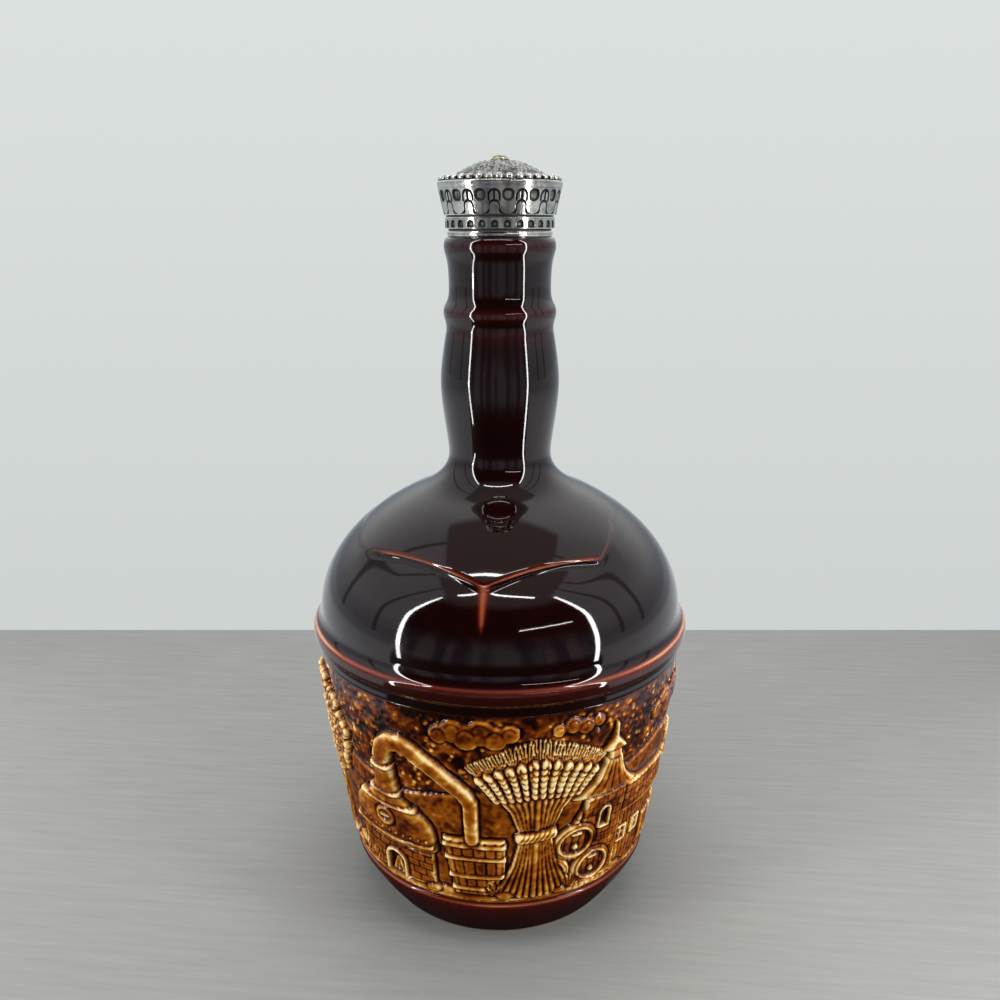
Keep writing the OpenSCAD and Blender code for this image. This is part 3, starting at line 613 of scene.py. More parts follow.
def maltings(spot):
    """A malt house: boarded walls, small windows, a slated roof and a kiln with its vent."""
    eaves, ridge = FOOT + 20.6, FOOT + 32
    press(spot, 40, FOOT, eaves, block(-19, FOOT, 19, eaves + 0.5), 1.0, edge=0.7)
    for k in range(19):
        score(spot, 40, FOOT, eaves, upright_line(2 * k - 18, high=eaves - 1), 0.34, 0.24)
    press(spot, 44, eaves, ridge, flat([(-20.9, eaves), (-16, ridge), (17.9, ridge), (22, eaves)]),
          1.8, edge=0.9)
    for k in range(4):
        y0 = eaves + 1.4 + 2.7 * k
        score(spot, 44, y0 - 1, y0 + 1, lambda x, y: np.abs(
            y - y0 - 0.35 * np.abs(np.sin(x * 1.35 + k * 1.57))) + 9 * (np.abs(x) > 20.2 - 1.2 * k),
            0.42, 0.25)
    for k in range(-8, 9):
        score(spot, 44, eaves, ridge, lambda x, y: np.abs(x - 2.33 * k * (1 - 0.012 * (y - eaves)))
              + 9 * ((y < eaves + 0.6) | (y > ridge - 0.6)), 0.26, 0.2)
    for x0 in (-0.5, 6.5):
        opening = (beside(spot, x0), 7, 11, 20)
        press(*opening, block(-2.3, 13, 2.3, 19), 1.5, edge=0.4, start=0.7, groove=0.3)
        within(*opening, block(-1.6, 13.7, 1.6, 18.3), 1.2, 0.3)
        press(*opening, joined(block(-0.22, 13.5, 0.22, 18.5), block(-1.7, 15.8, 1.7, 16.25)),
              1.2, edge=0.3, start=0.7, groove=0.05)
    door = (beside(spot, 14.5), 8, FOOT, 17)
    press(*door, block(-2.9, FOOT, 2.9, 16.5), 1.6, edge=0.5, groove=0.4)
    score(*door, upright_line(0), 0.4, 0.25)
    kiln = beside(spot, -10)
    walls_top = FOOT + 32.4
    press(kiln, 18, FOOT, walls_top, block(-7.2, FOOT, 7.2, walls_top), 1.75, groove=0.6)
    bricks(kiln, 7, 12, 1, 2.7, 3.0, 2, 0.3, 0.2)
    press(kiln, 6, 22, 32, joined(disc(0, 29.5, 2.3), block(-2.3, 23.5, 2.3, 29.5)), 2.1,
          edge=0.5, groove=0.3)
    within(kiln, 6, 22, 32, joined(disc(0, 29.5, 1.5), block(-1.5, 24.1, 1.5, 29.5)), 1.5, 0.3)
    press(kiln, 22, 36, 50, flat(flowing(both_sides([
        (-9.8, 36.5), (-9.4, 37.6), (-5.6, 41.5), (-3.4, 46), (-2.5, 48.6)]), 4)), 2.2, edge=1.6,
        groove=0.6)
    for k in (-2, -1, 0, 1, 2):
        score(kiln, 20, 38, 48, lambda x, y: np.abs(
            x - k * np.interp(y, [37, 41.5, 48], [3.6, 2.0, 0.9]))
            + 9 * ((y < 38) | (y > 48)), 0.38, 0.25)
    press(kiln, 9, 47, 58, block(-2.1, 48.2, 2.1, 51.2), 2.0, edge=0.5, groove=0.3)
    press(kiln, 9, 50, 58, flat([(-4.2, 51), (-1.0, 54.2), (0, 56.2), (1.0, 54.2), (4.2, 51)]),
          2.2, edge=0.9)
    press(kiln, 4, 55, 61, bar(0, 55, 0, 59, 0.5, 0.3), 1.7, edge=0.4, groove=0.3)
    for aside, cy in ((-6.7, 6.3), (6.7, 6.3), (0, 17.1)):
        cask_head(beside(spot, -18 + aside), FOOT + cy, 6.3)


def fence(spot, tall=14.5, span=30):
    """A paling fence: round-topped posts on two rails."""
    for share in (0.31, 0.72):
        y0 = FOOT + share * tall
        press(spot, span, y0 - 1, y0 + 1, block(-span / 2, y0 - 0.8, span / 2, y0 + 0.8),
              0.9, edge=0.6, groove=0.3, reach=0.5)
    for x0 in np.linspace(-span / 2 + 1, span / 2 - 1, 7):
        top = FOOT + tall - 0.6 + 0.6 * math.sin(7 * x0)
        press(beside(spot, x0), 4, GROUND - 2, top, bar(0, FOOT, 0, top - 1, 1.1, 1.0), 1.4,
              start=0.4, groove=0.4, reach=0.5)


def thistle(spot, tall):
    """A thistle: a hatched cup, a brush of petals, and two spined leaves on its stem."""
    cup_y, size = FOOT + 0.7 * tall, tall / 36
    press(spot, 8, FOOT, cup_y, bar(0, FOOT, 0, cup_y, 1.1 * size, 0.8 * size), 1.4, edge=0.7,
          groove=0.4)
    for side, share in ((1, 0.33), (-1, 0.2)):
        ys = FOOT + share * tall
        leaf = [(side * out * size, ys + rise) for out, rise in (
            (0, -2), (3, -1.0), (4, -2.4), (5.6, 0.4), (7.6, -0.4), (10.4, 4.4), (6.6, 3.0),
            (5.8, 5.4), (3.6, 3.0), (2.4, 4.6), (0, 1.6))]
        press(spot, 26 * size, FOOT, FOOT + tall, flat(leaf), 1.5, edge=0.9, groove=0.45)
        score(spot, 26 * size, FOOT, FOOT + tall, bar(0, ys, side * 8 * size, ys + 2.4, 0.0),
              0.4, 0.25)
    for q in np.linspace(-1, 1, 9):
        press(spot, 16, cup_y, cup_y + 12, bar(
            1.6 * q * size, cup_y + 3.0 * size,
            4.8 * q * size, cup_y + (10.2 - 1.4 * abs(q)) * size, 0.62, 0.4), 1.8, edge=0.5,
            groove=0.35, reach=0.35)
    press(spot, 12, cup_y - 5, cup_y + 6, egg(0, cup_y + 0.4, 3.7 * size, 3.4 * size), 2.1,
          edge=2.0, groove=0.55)
    cup = egg(0, cup_y + 0.4, 3.3 * size, 3.0 * size)
    for k in range(-3, 4):
        for s in (-1, 1):
            score(spot, 8, cup_y - 3, cup_y + 4, lambda x, y: np.abs(
                x + s * (y - cup_y - 0.4) - 1.5 * k) + 9 * (cup(x, y) > 0), 0.32, 0.22)


def tuft(spot, size=1.0):
    for q in (-1, -0.5, 0, 0.5, 1):
        press(spot, 9 * size, GROUND - 2, GROUND + 7 * size, bar(
            0.8 * q, GROUND - 1, 3.4 * q * size, GROUND + (5.6 - 2 * abs(q)) * size, 0.6, 0.25),
            1.3, edge=0.5, groove=0.25, reach=0.35)


def stone(spot, cy, rx, ry):
    press(spot, 2 * rx, cy - ry, cy + ry, egg(0, cy, rx, ry, 0.15), 1.5, edge=1.1, groove=0.4)


# The far hills and the ground, then each motif from the back of the yard to its front
hills(-128, 150, [(-80, 30), (-45, 44), (-15, 35), (10, 47), (45, 38), (80, 30)], 0.5)
hills(140, 110, [(-60, 30), (-30, 40), (0, 50), (28, 41), (60, 30)], 0.5)
hills(0, 150, [(-80, 36), (-50, 42), (-24, 37), (8, 43), (30, 39), (60, 46), (80, 42)], 0.45)
for bank in ((-2, 60, 24, 6), (28, 61, 15, 4), (72, 55, 26, 6), (108, 58, 18, 5),
             (-100, 56, 22, 5), (-148, 52, 24, 6), (176, 56, 18, 5)):
    clouds(*bank)
for k in range(-6, 6):
    hills(30 * k, 30, [(-16, GROUND + 0.3 * math.sin(9 * k)), (0, GROUND + 0.4),
                       (16, GROUND + 0.3 * math.sin(9 * (k + 1)))], 0.95)
fence((-97, 0))
fence((106, 0))
tree((-68, 0), 64, 38)
pot_still((-22, -9))
maltings((51, 0))
sheaf((16.5, 0), 1.02)
thistle((85, 0), 36)
tree((132, 0), 55, 32, 2.2)
sheaf((160, 0), 0.82, 0.4)
sheaf((-173, 0), 0.68, -0.5)
staved((-151, 0), 21, 6.2, 8.7, 6.4, 1.9, 9)
staved((-133, 0), 16.4, 4.8, 6.8, 5.0, 1.8, 8)
thistle((-117, 0), 36)
for at, scale in ((-84, 0.9), (-52, 1.0), (-45, 0.7), (3.5, 0.8), (30, 0.7), (74, 0.8), (92, 1.0),
                  (118, 0.8), (146, 1.0), (-162, 0.9), (-143, 0.7), (-124, 0.8)):
    tuft((at, 0), scale)
for at, *size in (
        (-57, 4.4, 3.0, 1.7), (-77, 4.0, 2.2, 1.4), (-18, 3.9, 2.4, 1.5), (7, 4.0, 2.4, 1.5),
        (26, 3.6, 2.0, 1.3), (50, 3.9, 2.6, 1.5), (68, 4.4, 2.2, 1.6), (98, 4.0, 3.0, 1.7),
        (140, 4.2, 2.6, 1.5), (-159, 4.0, 2.6, 1.6), (-107, 4.2, 2.4, 1.5)):
    stone((at, 0), *size)


def blurred(field, width):
    """A field of the band spread by a bell of the given width."""
    out = field
    for step, wraps in ((2 * math.pi * BAND_MID_R / BAND_COLUMNS, True),
                        (BAND_UP / (BAND_ROWS - 1), False)):
        reach = max(1, int(3 * width / step))
        weights = np.exp(-0.5 * (np.arange(-reach, reach + 1) * step / width) ** 2)
        weights /= weights.sum()
        pad = ((reach, reach), (0, 0)) if wraps else ((0, 0), (reach, reach))
        wide = np.pad(out, pad, mode="wrap" if wraps else "edge")
        out = sum(w * (wide[k:k + out.shape[0], :] if wraps else wide[:, k:k + out.shape[1]])
                  for k, w in enumerate(weights))
    return out


def drifts(width):
    """Even random drifts of the given width, mostly between minus 1 and 1."""
    field = blurred(relief_dice.normal(size=relief.shape), width)
    return field / (2.2 * field.std())


# The open ground behind the motifs is stippled, and the raised forms a little less
specks = ((relief_dice.random(relief.shape) < 0.022)
          * relief_dice.uniform(0.1, 1.0, relief.shape) ** 2)
specks = np.clip(blurred(specks, 0.32) * 12, 0, 1)
pebbles, blotches, lumps = drifts(0.45), drifts(1.1), drifts(2.6)
open_ground = 1 - blurred(covered, 0.5)
relief = blurred(relief, 0.16)
relief += open_ground * (0.16 * specks + 0.10 * pebbles + 0.12 * blotches) + (1 - open_ground) * (
    0.05 * pebbles + 0.06 * blotches + 0.10 * lumps)
edge_fade = eased(np.clip(np.minimum(up, BAND_UP - up) / 1.6, 0, 1)[None, :])
top_room = np.interp(up, [0, BAND_UP - 16, BAND_UP], [1, 1, 0.8])[None, :]
relief = relief * edge_fade * top_room

# The glaze is thin on what stands out of its surroundings, and on the line at the band's foot
near, far = relief - blurred(relief, 0.55), relief - blurred(relief, 2.4)
band_thin = 0.37 + 1.55 * near + 0.16 * far + 0.10 * lumps + 0.12 * blotches + 0.08 * pebbles
band_thin += open_ground * (0.42 * specks - 0.13 + 0.10 * blotches + 0.06 * lumps)
band_thin = np.clip(band_thin, 0.0, 1.1)
band_thin = band_thin * edge_fade + (1 - edge_fade) * 0.10 + 0.45 * bell(up, 0.9, 0.5)[None, :]

slope_r, slope_z = np.gradient(band_r), np.gradient(band_z)
slope = np.hypot(slope_r, slope_z)
out_r, out_z = slope_z / slope, -slope_r / slope
amber_glaze = glazed(
    "amber_glaze", ((18, 4, 1), (80, 28, 3), (154, 80, 11), (214, 150, 50), (250, 228, 166)),
    mottle=0.40, mottle_scale=560.0, roughness=0.10, wave_mm=0.12, peel=0.35)


def band_half(name, first):
    """Half of the band as its own closed shell: the relief outside, a smooth wall inside and a
    flat face at each end."""
    take = np.arange(first, first + BAND_COLUMNS // 2 + 1) % BAND_COLUMNS
    azimuth, high = band_turn[take], relief[take].T
    outer = turned(band_r[:, None] + high * out_r[:, None],
                   band_z[:, None] + high * out_z[:, None], azimuth[None, :])
    inner_z = np.linspace(BAND_HEAD[1], BAND_FOOT[1], INNER_ROWS)
    inner_r = np.interp(inner_z, [BAND_FOOT[1], 40, BAND_HEAD[1]],
                        [INNER_FOOT_R, 44.5, INNER_HEAD_R])
    rings = np.vstack([outer, turned(inner_r, inner_z, azimuth)])
    thin = np.vstack([band_thin[take].T, np.full((INNER_ROWS, len(take)), 0.1)])
    first_points = [i * len(take) for i in range(len(rings))]
    ends = [first_points, [i + len(take) - 1 for i in reversed(first_points)]]
    return skin(name, rings, amber_glaze, looped=True, wrapped=False, ends=ends, thinness=thin)


for half in (band_half("band_front", BAND_COLUMNS // 4),
             band_half("band_back", 3 * BAND_COLUMNS // 4)):
    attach(half, "bottle")
    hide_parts("bottle_body")

# Ridge, shoulder, hood and neck
# The upper part of the same casting, from the roll over the band to the mouth. The hood is a
# pointed eave over two scooped hollows, and the glaze runs thin along all its edges.
ROLL_R, ROLL_FOOT_Z = 56.8, 84.3
RIDGE_WIDE, ARRIS, SHOULDER_FOOT = (58.3, 89.6), (57.75, 91.75), (55.75, 95.6)
DOME_END, NECK_FOOT = (25.0, 131.4), (15.4, 142.2)
SWELL, WAIST, RING, THROAT = (17.5, 163.8), (15.6, 179.0), (16.4, 183.6), (14.7, 190.5)
LIP, MOUTH = (16.0, 201.8), (14.9, 204.6)
BORE_R, MOUTH_BEVEL = 9.4, 0.8
LOBE_OUT, LOBE_R, LOBE_Z, OVERHANG, SCOOP_H, SPINE_FOOT_Z = 22.0, 64.0, 120.1, 3.9, 11.5, 105.5
HOOD_R, HOOD_TURN = 44, 57
LEVEL_Z, BELOW_EDGE, ABOVE_EDGE, LIFT_H = 99.5, 1.3, 0.9, 7
STEP_ROWS = 13
UPPER_COLUMNS = 440


def upright(a, b, share_a, share_b, steps):
    """A curve between two stations that is upright at both."""
    rise = b[1] - a[1]
    return bend(a, (a[0], a[1] + share_a * rise), (b[0], b[1] - share_b * rise), b, steps)


upper_outside = np.vstack([
    [BAND_HEAD, (ROLL_R, ROLL_FOOT_Z), (ROLL_R, 86.0)],
    upright((ROLL_R, 86.0), RIDGE_WIDE, 0.3, 0.5, 12),
    bend(RIDGE_WIDE, (58.3, 90.7), (58.1, 91.4), ARRIS, 8),
    bend(ARRIS, (56.9, 92.2), (55.9, 93.7), SHOULDER_FOOT, 16),
    bend(SHOULDER_FOOT, (55.35, 112.2), (40.6, 124.4), DOME_END, 60),
    bend(DOME_END, (22.1, 132.7), (15.4, 136.3), NECK_FOOT, 24),
    upright(NECK_FOOT, SWELL, 0.2, 0.38, 30), upright(SWELL, WAIST, 0.36, 0.05, 24),
    upright(WAIST, RING, 0.53, 0.3, 14), upright(RING, THROAT, 0.37, 0.66, 16),
    upright(THROAT, LIP, 0.88, 0.21, 20), bend(LIP, (16.0, 203.5), (15.56, 204.6), MOUTH, 12)])
softened = along(upper_outside, 0.05, soften=0.2)
dome_side = softened[(softened[:, 1] > 97) & (softened[:, 1] < 142)]


def dome_r(z):
    return np.interp(z, dome_side[:, 1], dome_side[:, 0])


def hollow(z, azimuth):
    """How far the two hollows lie in from the dome, deepest at the eave, with a crest between."""
    rise = np.clip((z - LOBE_Z + SCOOP_H) / SCOOP_H, 0, 1.3)
    ends = np.clip((HOOD_TURN - np.abs(np.degrees(azimuth))) / 25, 0, 1)
    crest = 0.5 * np.exp(-np.sqrt((HOOD_R * np.sin(azimuth)) ** 2 + 0.06) / (0.9 + 1.1 * rise))
    return OVERHANG * rise ** 2.2 * eased(ends) * (1 - crest)


def level(rows, columns):
    """Rows of radius and height, the same in each of the columns."""
    return np.repeat(rows.T[:, :, None], columns, 2)


# More columns in front, where the hood is
spread = np.linspace(-math.pi, math.pi, 4001)
density = 1 + 1.5 * np.exp(-(spread / 1.15) ** 4)
share = np.r_[0, np.cumsum((density[1:] + density[:-1]) / 2)]
upper_azimuth = np.interp(np.linspace(0, share[-1], UPPER_COLUMNS, endpoint=False), share, spread)
degrees = np.degrees(upper_azimuth)
aside = np.abs(degrees)
across = HOOD_R * np.sin(upper_azimuth)

# The height of the hood's edge: two bowed lobes in front, and a crease that climbs away at
# each side
bow = LOBE_Z - LOBE_R + np.sqrt(LOBE_R ** 2 - (np.sqrt(across ** 2 + 0.8) - LOBE_OUT) ** 2)
crease = np.interp(degrees, [-180, -120, -94, -75, -61, -52, 44, 49, 58, 68, 90, 180],
                   [125, 125, 124.2, 121.0, 119.0, 118.9, 119.6, 120.6, 123.0, 125.2, 126, 126])
in_bow = eased(np.interp(degrees, [-58, -50, 42, 49], [0, 1, 1, 0]))
edge_z = in_bow * bow + (1 - in_bow) * crease

# Rows that follow that edge: those of the hollows below it, the step over it and the dome above
start_z, end_z = edge_z - BELOW_EDGE, edge_z + ABOVE_EDGE
below = np.linspace(0, 1, 28)[1:, None] * (start_z - LEVEL_Z) + LEVEL_Z
below_r = dome_r(below) - hollow(below, upper_azimuth)
start_r = below_r[-1]
depth = dome_r(start_z) - start_r
lift = 0.45 * np.interp(aside, [40, 52, 62, 80, 105], [0.4, 1, 0.9, 0.6, 0])
end_r = dome_r(end_z) + lift
in_step = np.clip(depth / 1.5, 0, 1)
lean = (dome_r(end_z) - dome_r(start_z)) * 0.33
step_r = bend(start_r, start_r + lean, end_r - lean + 0.3 * in_step, end_r, STEP_ROWS)
step_z = bend(start_z, start_z + 0.73 + 0.75 * in_step, end_z - 0.73 - 0.95 * in_step, end_z,
              STEP_ROWS)
above = end_z + np.linspace(0, 1, 26)[1:, None] * (DOME_END[1] - end_z)
above_r = dome_r(above) + lift * np.clip(1 - (above - end_z) / LIFT_H, 0, 1) ** 2

rows_low = along(softened[softened[:, 1] <= LEVEL_Z], 0.36)
rows_high = along(softened[softened[:, 1] >= DOME_END[1]], 1.0)[1:]
inside_rows = np.array([
    (13.4, MOUTH[1]), (11.6, MOUTH[1]), (BORE_R + MOUTH_BEVEL, MOUTH[1] - 0.02),
    (BORE_R + 0.25, MOUTH[1] - 0.35), (BORE_R, MOUTH[1] - MOUTH_BEVEL),
    (BORE_R, 195.0), (BORE_R, 185.0), (BORE_R, 170.0), (BORE_R, 155.0), (BORE_R, 143.0),
    (9.9, 138.5), (11.6, 133.6), (15.6, 129.4), (22.3, 126.2), (29.2, 122.6), (36.6, 117.6),
    (42.6, 111.6), (47.2, 104.6), (49.6, 98.8), (49.8, 92.0), (INNER_HEAD_R, BAND_HEAD[1])])
upper_r, upper_z = np.concatenate([
    level(rows_low, UPPER_COLUMNS), np.stack([below_r, below]), np.stack([step_r, step_z]),
    np.stack([above_r, above]), level(rows_high, UPPER_COLUMNS),
    level(inside_rows, UPPER_COLUMNS)], 1)

# The glaze is thin on the eave, the hood's spine, the arris and the neck's rings; along the crease
# and the arris a painted highlight is added
row = np.arange(len(upper_r))[:, None]
edge_row = len(rows_low) + len(below) + 9.5
eave = bell(row, edge_row, 2.3) * np.clip(depth / 2.0, 0, 1)
# Painted highlight: pale glaze along the crease at each side, standing in for the streak of light
# it catches
crease_highlight = bell(row, edge_row, 2.0) * np.interp(aside, [48, 54, 70, 95], [0, 0.5, 0.35, 0])
spine_half = np.interp(upper_z, [SPINE_FOOT_Z, LOBE_Z - 3.6], [0.25, 1.5])
spine = (bell(across, 0, spine_half) * np.clip((upper_z - SPINE_FOOT_Z) / 3, 0, 1)
         * (upper_z < edge_z + 0.3) * (aside < 60))
# Painted reflection: the arris is painted paler at the sides, where it mirrors the pale walls, than
# in front; the small wobble is the glaze's own drift
arris_sheen_and_drift = np.interp(aside, [10, 25, 60, 180], [0.55, 0.75, 1.35, 1.35]) * (
    0.9 + 0.1 * np.sin(3 * upper_azimuth + 0.6) * np.sin(7 * upper_azimuth))
upper_thin = 0.08 + 0.80 * eave + 0.45 * crease_highlight + 0.72 * spine
# The narrow bell at 91.85 is a painted highlight along the arris; the other bells are the glaze
# thinning on crests
for weight, middle, width, run in (
        (0.34, 91.5, 1.0, arris_sheen_and_drift), (0.52, 91.85, 0.36, arris_sheen_and_drift), (0.20, 89.2, 2.2, 1),
        (0.24, 183.9, 1.3, 1), (0.12, 177.8, 2.2, 1), (0.20, 202.3, 1.6, 1)):
    upper_thin = upper_thin + weight * bell(upper_z, middle, width) * run
upper_thin = np.where(row < len(upper_r) - len(inside_rows), upper_thin, 0.1)
bottle_upper = skin("bottle_upper", turned(upper_r, upper_z, upper_azimuth[None, :]), dark_glaze,
                    looped=True, thinness=upper_thin)
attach(bottle_upper, "bottle")
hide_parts("bottle_body")

# Cork
# A turned natural cork, pushed on the insert's spigot, with the grain's small pits in its side.
CORK_R, CORK_FOOT_R, CORK_FOOT_Z, CORK_BORE_R, CORK_BORE_Z = 9.25, 8.85, 182.6, 4.1, 192.5
CORK_SIDE_H, CORK_PITS = 20.8, 46


def cork_material():
    material, shader, place = new_finish("natural_cork")
    squeezed = place.stretched(1.0, 1.0, 2.4)
    grain = squeezed.noise(420.0, 5.0, 0.65)
    pit = node_of(place.tree, "ShaderNodeTexVoronoi", squeezed, Scale=330.0,
                  take="Distance").ramp(0.0, 0.28)
    colour = grain.ramp(0.35, 0.68).mix(linear(150, 104, 62), linear(206, 166, 116))
    colour = (place.noise(120.0) * 0.35).mix(colour, linear(176, 122, 78))
    pit.mix(linear(84, 50, 28), colour).to(shader["Base Color"])
    bump(shader, pit + grain * 0.5, 0.7, 0.25)
    shader["Roughness"].default_value = 0.85
    return material


cork_side = [(CORK_FOOT_R + (CORK_R - CORK_FOOT_R) * k / 30, CORK_FOOT_Z + 1 + CORK_SIDE_H * k / 30)
             for k in range(1, 31)]
cork_rows = np.array([
    (3.0, CORK_FOOT_Z), (6.4, CORK_FOOT_Z), (8.0, CORK_FOOT_Z + 0.05), (8.5, CORK_FOOT_Z + 0.4),
    (CORK_FOOT_R, CORK_FOOT_Z + 1.0), *cork_side, (CORK_R - 0.15, 204.55), (6.0, 204.6),
    (CORK_BORE_R, 204.6), (CORK_BORE_R, 198.0), (CORK_BORE_R, CORK_BORE_Z), (2.0, CORK_BORE_Z)])
cork_azimuth = all_round(144)
cork_dice = np.random.default_rng(11)
pitted = np.zeros((len(cork_rows), len(cork_azimuth)))
for _ in range(CORK_PITS):
    angle, height_at = cork_dice.uniform(-math.pi, math.pi), cork_dice.uniform(184, 203)
    wide, tall = cork_dice.uniform(0.35, 1.1), cork_dice.uniform(0.25, 0.5)
    turn = (cork_azimuth - angle + math.pi) % (2 * math.pi) - math.pi
    pitted += 0.35 * bell(turn[None, :] * CORK_R, 0, wide) * bell(cork_rows[:, 1:], height_at, tall)
side_rows = ((cork_rows[:, 0] > 8.6) & (cork_rows[:, 1] < 204.3))[:, None]
cork_piece = skin("cork_stopper", turned(cork_rows[:, :1] - pitted * side_rows, cork_rows[:, 1:],
                                         cork_azimuth[None, :]), cork_material(),
                  foot_pole=CORK_FOOT_Z, head_pole=CORK_BORE_Z)
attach(cork_piece, "stopper")
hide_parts("cork")

# Insert
# The moulded core of the stopper. Its CAD solid is its whole shape, so it only gets its finish:
# black plastic with the fine ripple and rub marks of a moulding.


def moulded_material():
    material, shader, place = new_finish("moulded_black")
    mark = place.noise(700.0, 4.0, 0.6)
    mark.mix(linear(16, 16, 17), linear(46, 45, 44)).to(shader["Base Color"])
    mark.math("MULTIPLY_ADD", 0.3, 0.3).to(shader["Roughness"])
    bump(shader, place.noise(1500.0), 0.5, 0.05)
    return material


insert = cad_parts["crown_insert"]
insert.data.materials.clear()
insert.data.materials.append(moulded_material())

# Crown
# The cast and plated metal cap. One sector of its wall carries a scale under an arch with a
# mullion, an oval window and two dentils. All are sunk and blackened, and repeat round the cap.
SECTORS, SECTOR_COLUMNS, CROWN_ROWS = 14, 48, 112
CROWN_FOOT_Z, GROOVE_Z, DENTIL_Z = 204.6, 206.3, 206.75
ARCADE_Z, RIM_Z, PLATE_Z = 210.35, 217.45, 219.45
COLLAR_R, DENTIL_R, ARCADE_FOOT_R, ARCADE_HEAD_R, RIM_R = 14.9, 15.45, 15.8, 17.3, 17.5
COLLAR_Z, COLLAR_HALF_H = 205.45, 0.86
LINE_W, LINE_DEPTH, CROWN_BORE_R, PLATE_UNDER_Z, SHANK_HOLE_R = 0.45, 0.42, 13.3, 217.95, 1.6
DENTIL_H = 1.87
PLATE_BLACK, SEAT_BLACK = 0.15, 0.85


def arch_of(w, h):
    return joined(disc(0, h - w / 2, w / 2), block(-w / 2, -0.01, w / 2, h - w / 2))


def scale_of(w, h):
    """A scale: a round head on a foot that flares out."""
    flare = 0.25 * w
    foot = less(block(-w / 2, -0.01, w / 2, flare),
                joined(disc(-w / 2, flare, flare), disc(w / 2, flare, flare)))
    return joined(arch_of(0.5 * w, h), foot)


def less(form, cut):
    return lambda x, y: np.maximum(form(x, y), -cut(x, y))


def moved(form, right, rise):
    return lambda x, y: form(x - right, y - rise)


def sunk_lines():
    """The lines cut in one sector of the crown's wall, as one form."""
    half = ARCADE_FOOT_R * math.sin(math.pi / SECTORS)
    scale_w, arch_w, window_w = 0.84 * 2 * half, 0.48 * 2 * half, 0.36 * 2 * half
    row_h = 0.49 * (RIM_Z - ARCADE_Z)
    tall = row_h - LINE_W
    upper_row_z, dentil_z = RIM_Z - row_h, DENTIL_Z + LINE_W
    scale = less(scale_of(scale_w, row_h),
                 moved(scale_of(scale_w - 2 * LINE_W, row_h), 0, -LINE_W))
    arch = less(arch_of(arch_w, tall), moved(arch_of(arch_w - 2 * LINE_W, tall), 0, -LINE_W))
    mullion = block(-LINE_W / 2, LINE_W, LINE_W / 2, row_h - 2 * LINE_W)
    oval = bar(0, window_w / 2, 0, tall - window_w / 2, window_w / 2)
    dentil = arch_of(0.55 * math.pi * DENTIL_R / SECTORS, DENTIL_H)
    return joined(
        moved(scale, 0, ARCADE_Z + LINE_W), moved(arch, 0, upper_row_z),
        moved(mullion, 0, upper_row_z),
        *[moved(oval, side * half, upper_row_z) for side in (-1, 1)],
        *[moved(dentil, place * DENTIL_R / ARCADE_FOOT_R, dentil_z) for place in (-half, 0, half)])


crown_z = np.linspace(CROWN_FOOT_Z, PLATE_Z - 0.45, CROWN_ROWS)
collar = COLLAR_R - LINE_DEPTH + LINE_DEPTH * np.sqrt(
    np.clip(1 - ((crown_z - COLLAR_Z) / COLLAR_HALF_H) ** 2, 0, 1))
wall_line = np.array([
    (GROOVE_Z, COLLAR_R - 0.4), (DENTIL_Z, COLLAR_R - 0.4), (DENTIL_Z + 0.12, DENTIL_R),
    (ARCADE_Z - LINE_W, DENTIL_R), (ARCADE_Z - LINE_W + 0.1, DENTIL_R - 0.4),
    (ARCADE_Z - 0.02, DENTIL_R - 0.35), (ARCADE_Z + 0.12, ARCADE_FOOT_R),
    (RIM_Z, ARCADE_HEAD_R - 0.02), (RIM_Z + 0.12, ARCADE_HEAD_R), (RIM_Z + 1.0, RIM_R),
    (PLATE_Z, RIM_R)])
crown_r = np.where(crown_z < GROOVE_Z, collar, np.interp(crown_z, *wall_line.T))
sector_turn = np.linspace(-math.pi / SECTORS, math.pi / SECTORS, SECTOR_COLUMNS + 1)
line_edge = sunk_lines()(crown_r[:, None] * np.sin(sector_turn)[None, :], crown_z[:, None])
sunk = eased(np.clip((-0.01 - line_edge) / 0.12, 0, 1))
soot = (np.clip((0.17 - line_edge) / 0.10, 0, 1)
        * (1 - 0.4 * np.clip((-0.32 - line_edge) / 0.3, 0, 1)))
close_rows = np.array([
    (RIM_R - 0.03, PLATE_Z - 0.25), (RIM_R - 0.16, PLATE_Z - 0.06), (RIM_R - 0.4, PLATE_Z),
    (16.2, PLATE_Z), (14.8, PLATE_Z), (8.0, PLATE_Z), (SHANK_HOLE_R, PLATE_Z),
    (SHANK_HOLE_R, PLATE_UNDER_Z), (8.0, PLATE_UNDER_Z), (CROWN_BORE_R, PLATE_UNDER_Z),
    (CROWN_BORE_R, 211.0), (CROWN_BORE_R, CROWN_FOOT_Z)])
wall_r = crown_r[:, None] - LINE_DEPTH * sunk
sector_r, sector_z = np.concatenate([
    np.stack([wall_r, np.broadcast_to(crown_z[:, None], wall_r.shape)]),
    level(close_rows, SECTOR_COLUMNS + 1)], 1)
grooves = (bell(crown_z, GROOVE_Z + 0.25, 0.3) + bell(crown_z, ARCADE_Z - 0.24, 0.26)
           + 0.7 * bell(crown_z, RIM_Z, 0.12))
bead_seat = (close_rows[:, 0] > 14) & (close_rows[:, 1] == PLATE_Z) & (close_rows[:, 0] < 17)
plate_black = np.where(bead_seat, SEAT_BLACK, PLATE_BLACK)[:, None] * np.ones(SECTOR_COLUMNS + 1)
sector_black = np.vstack([np.maximum(soot, np.clip(grooves, 0, 1)[:, None]), plate_black])


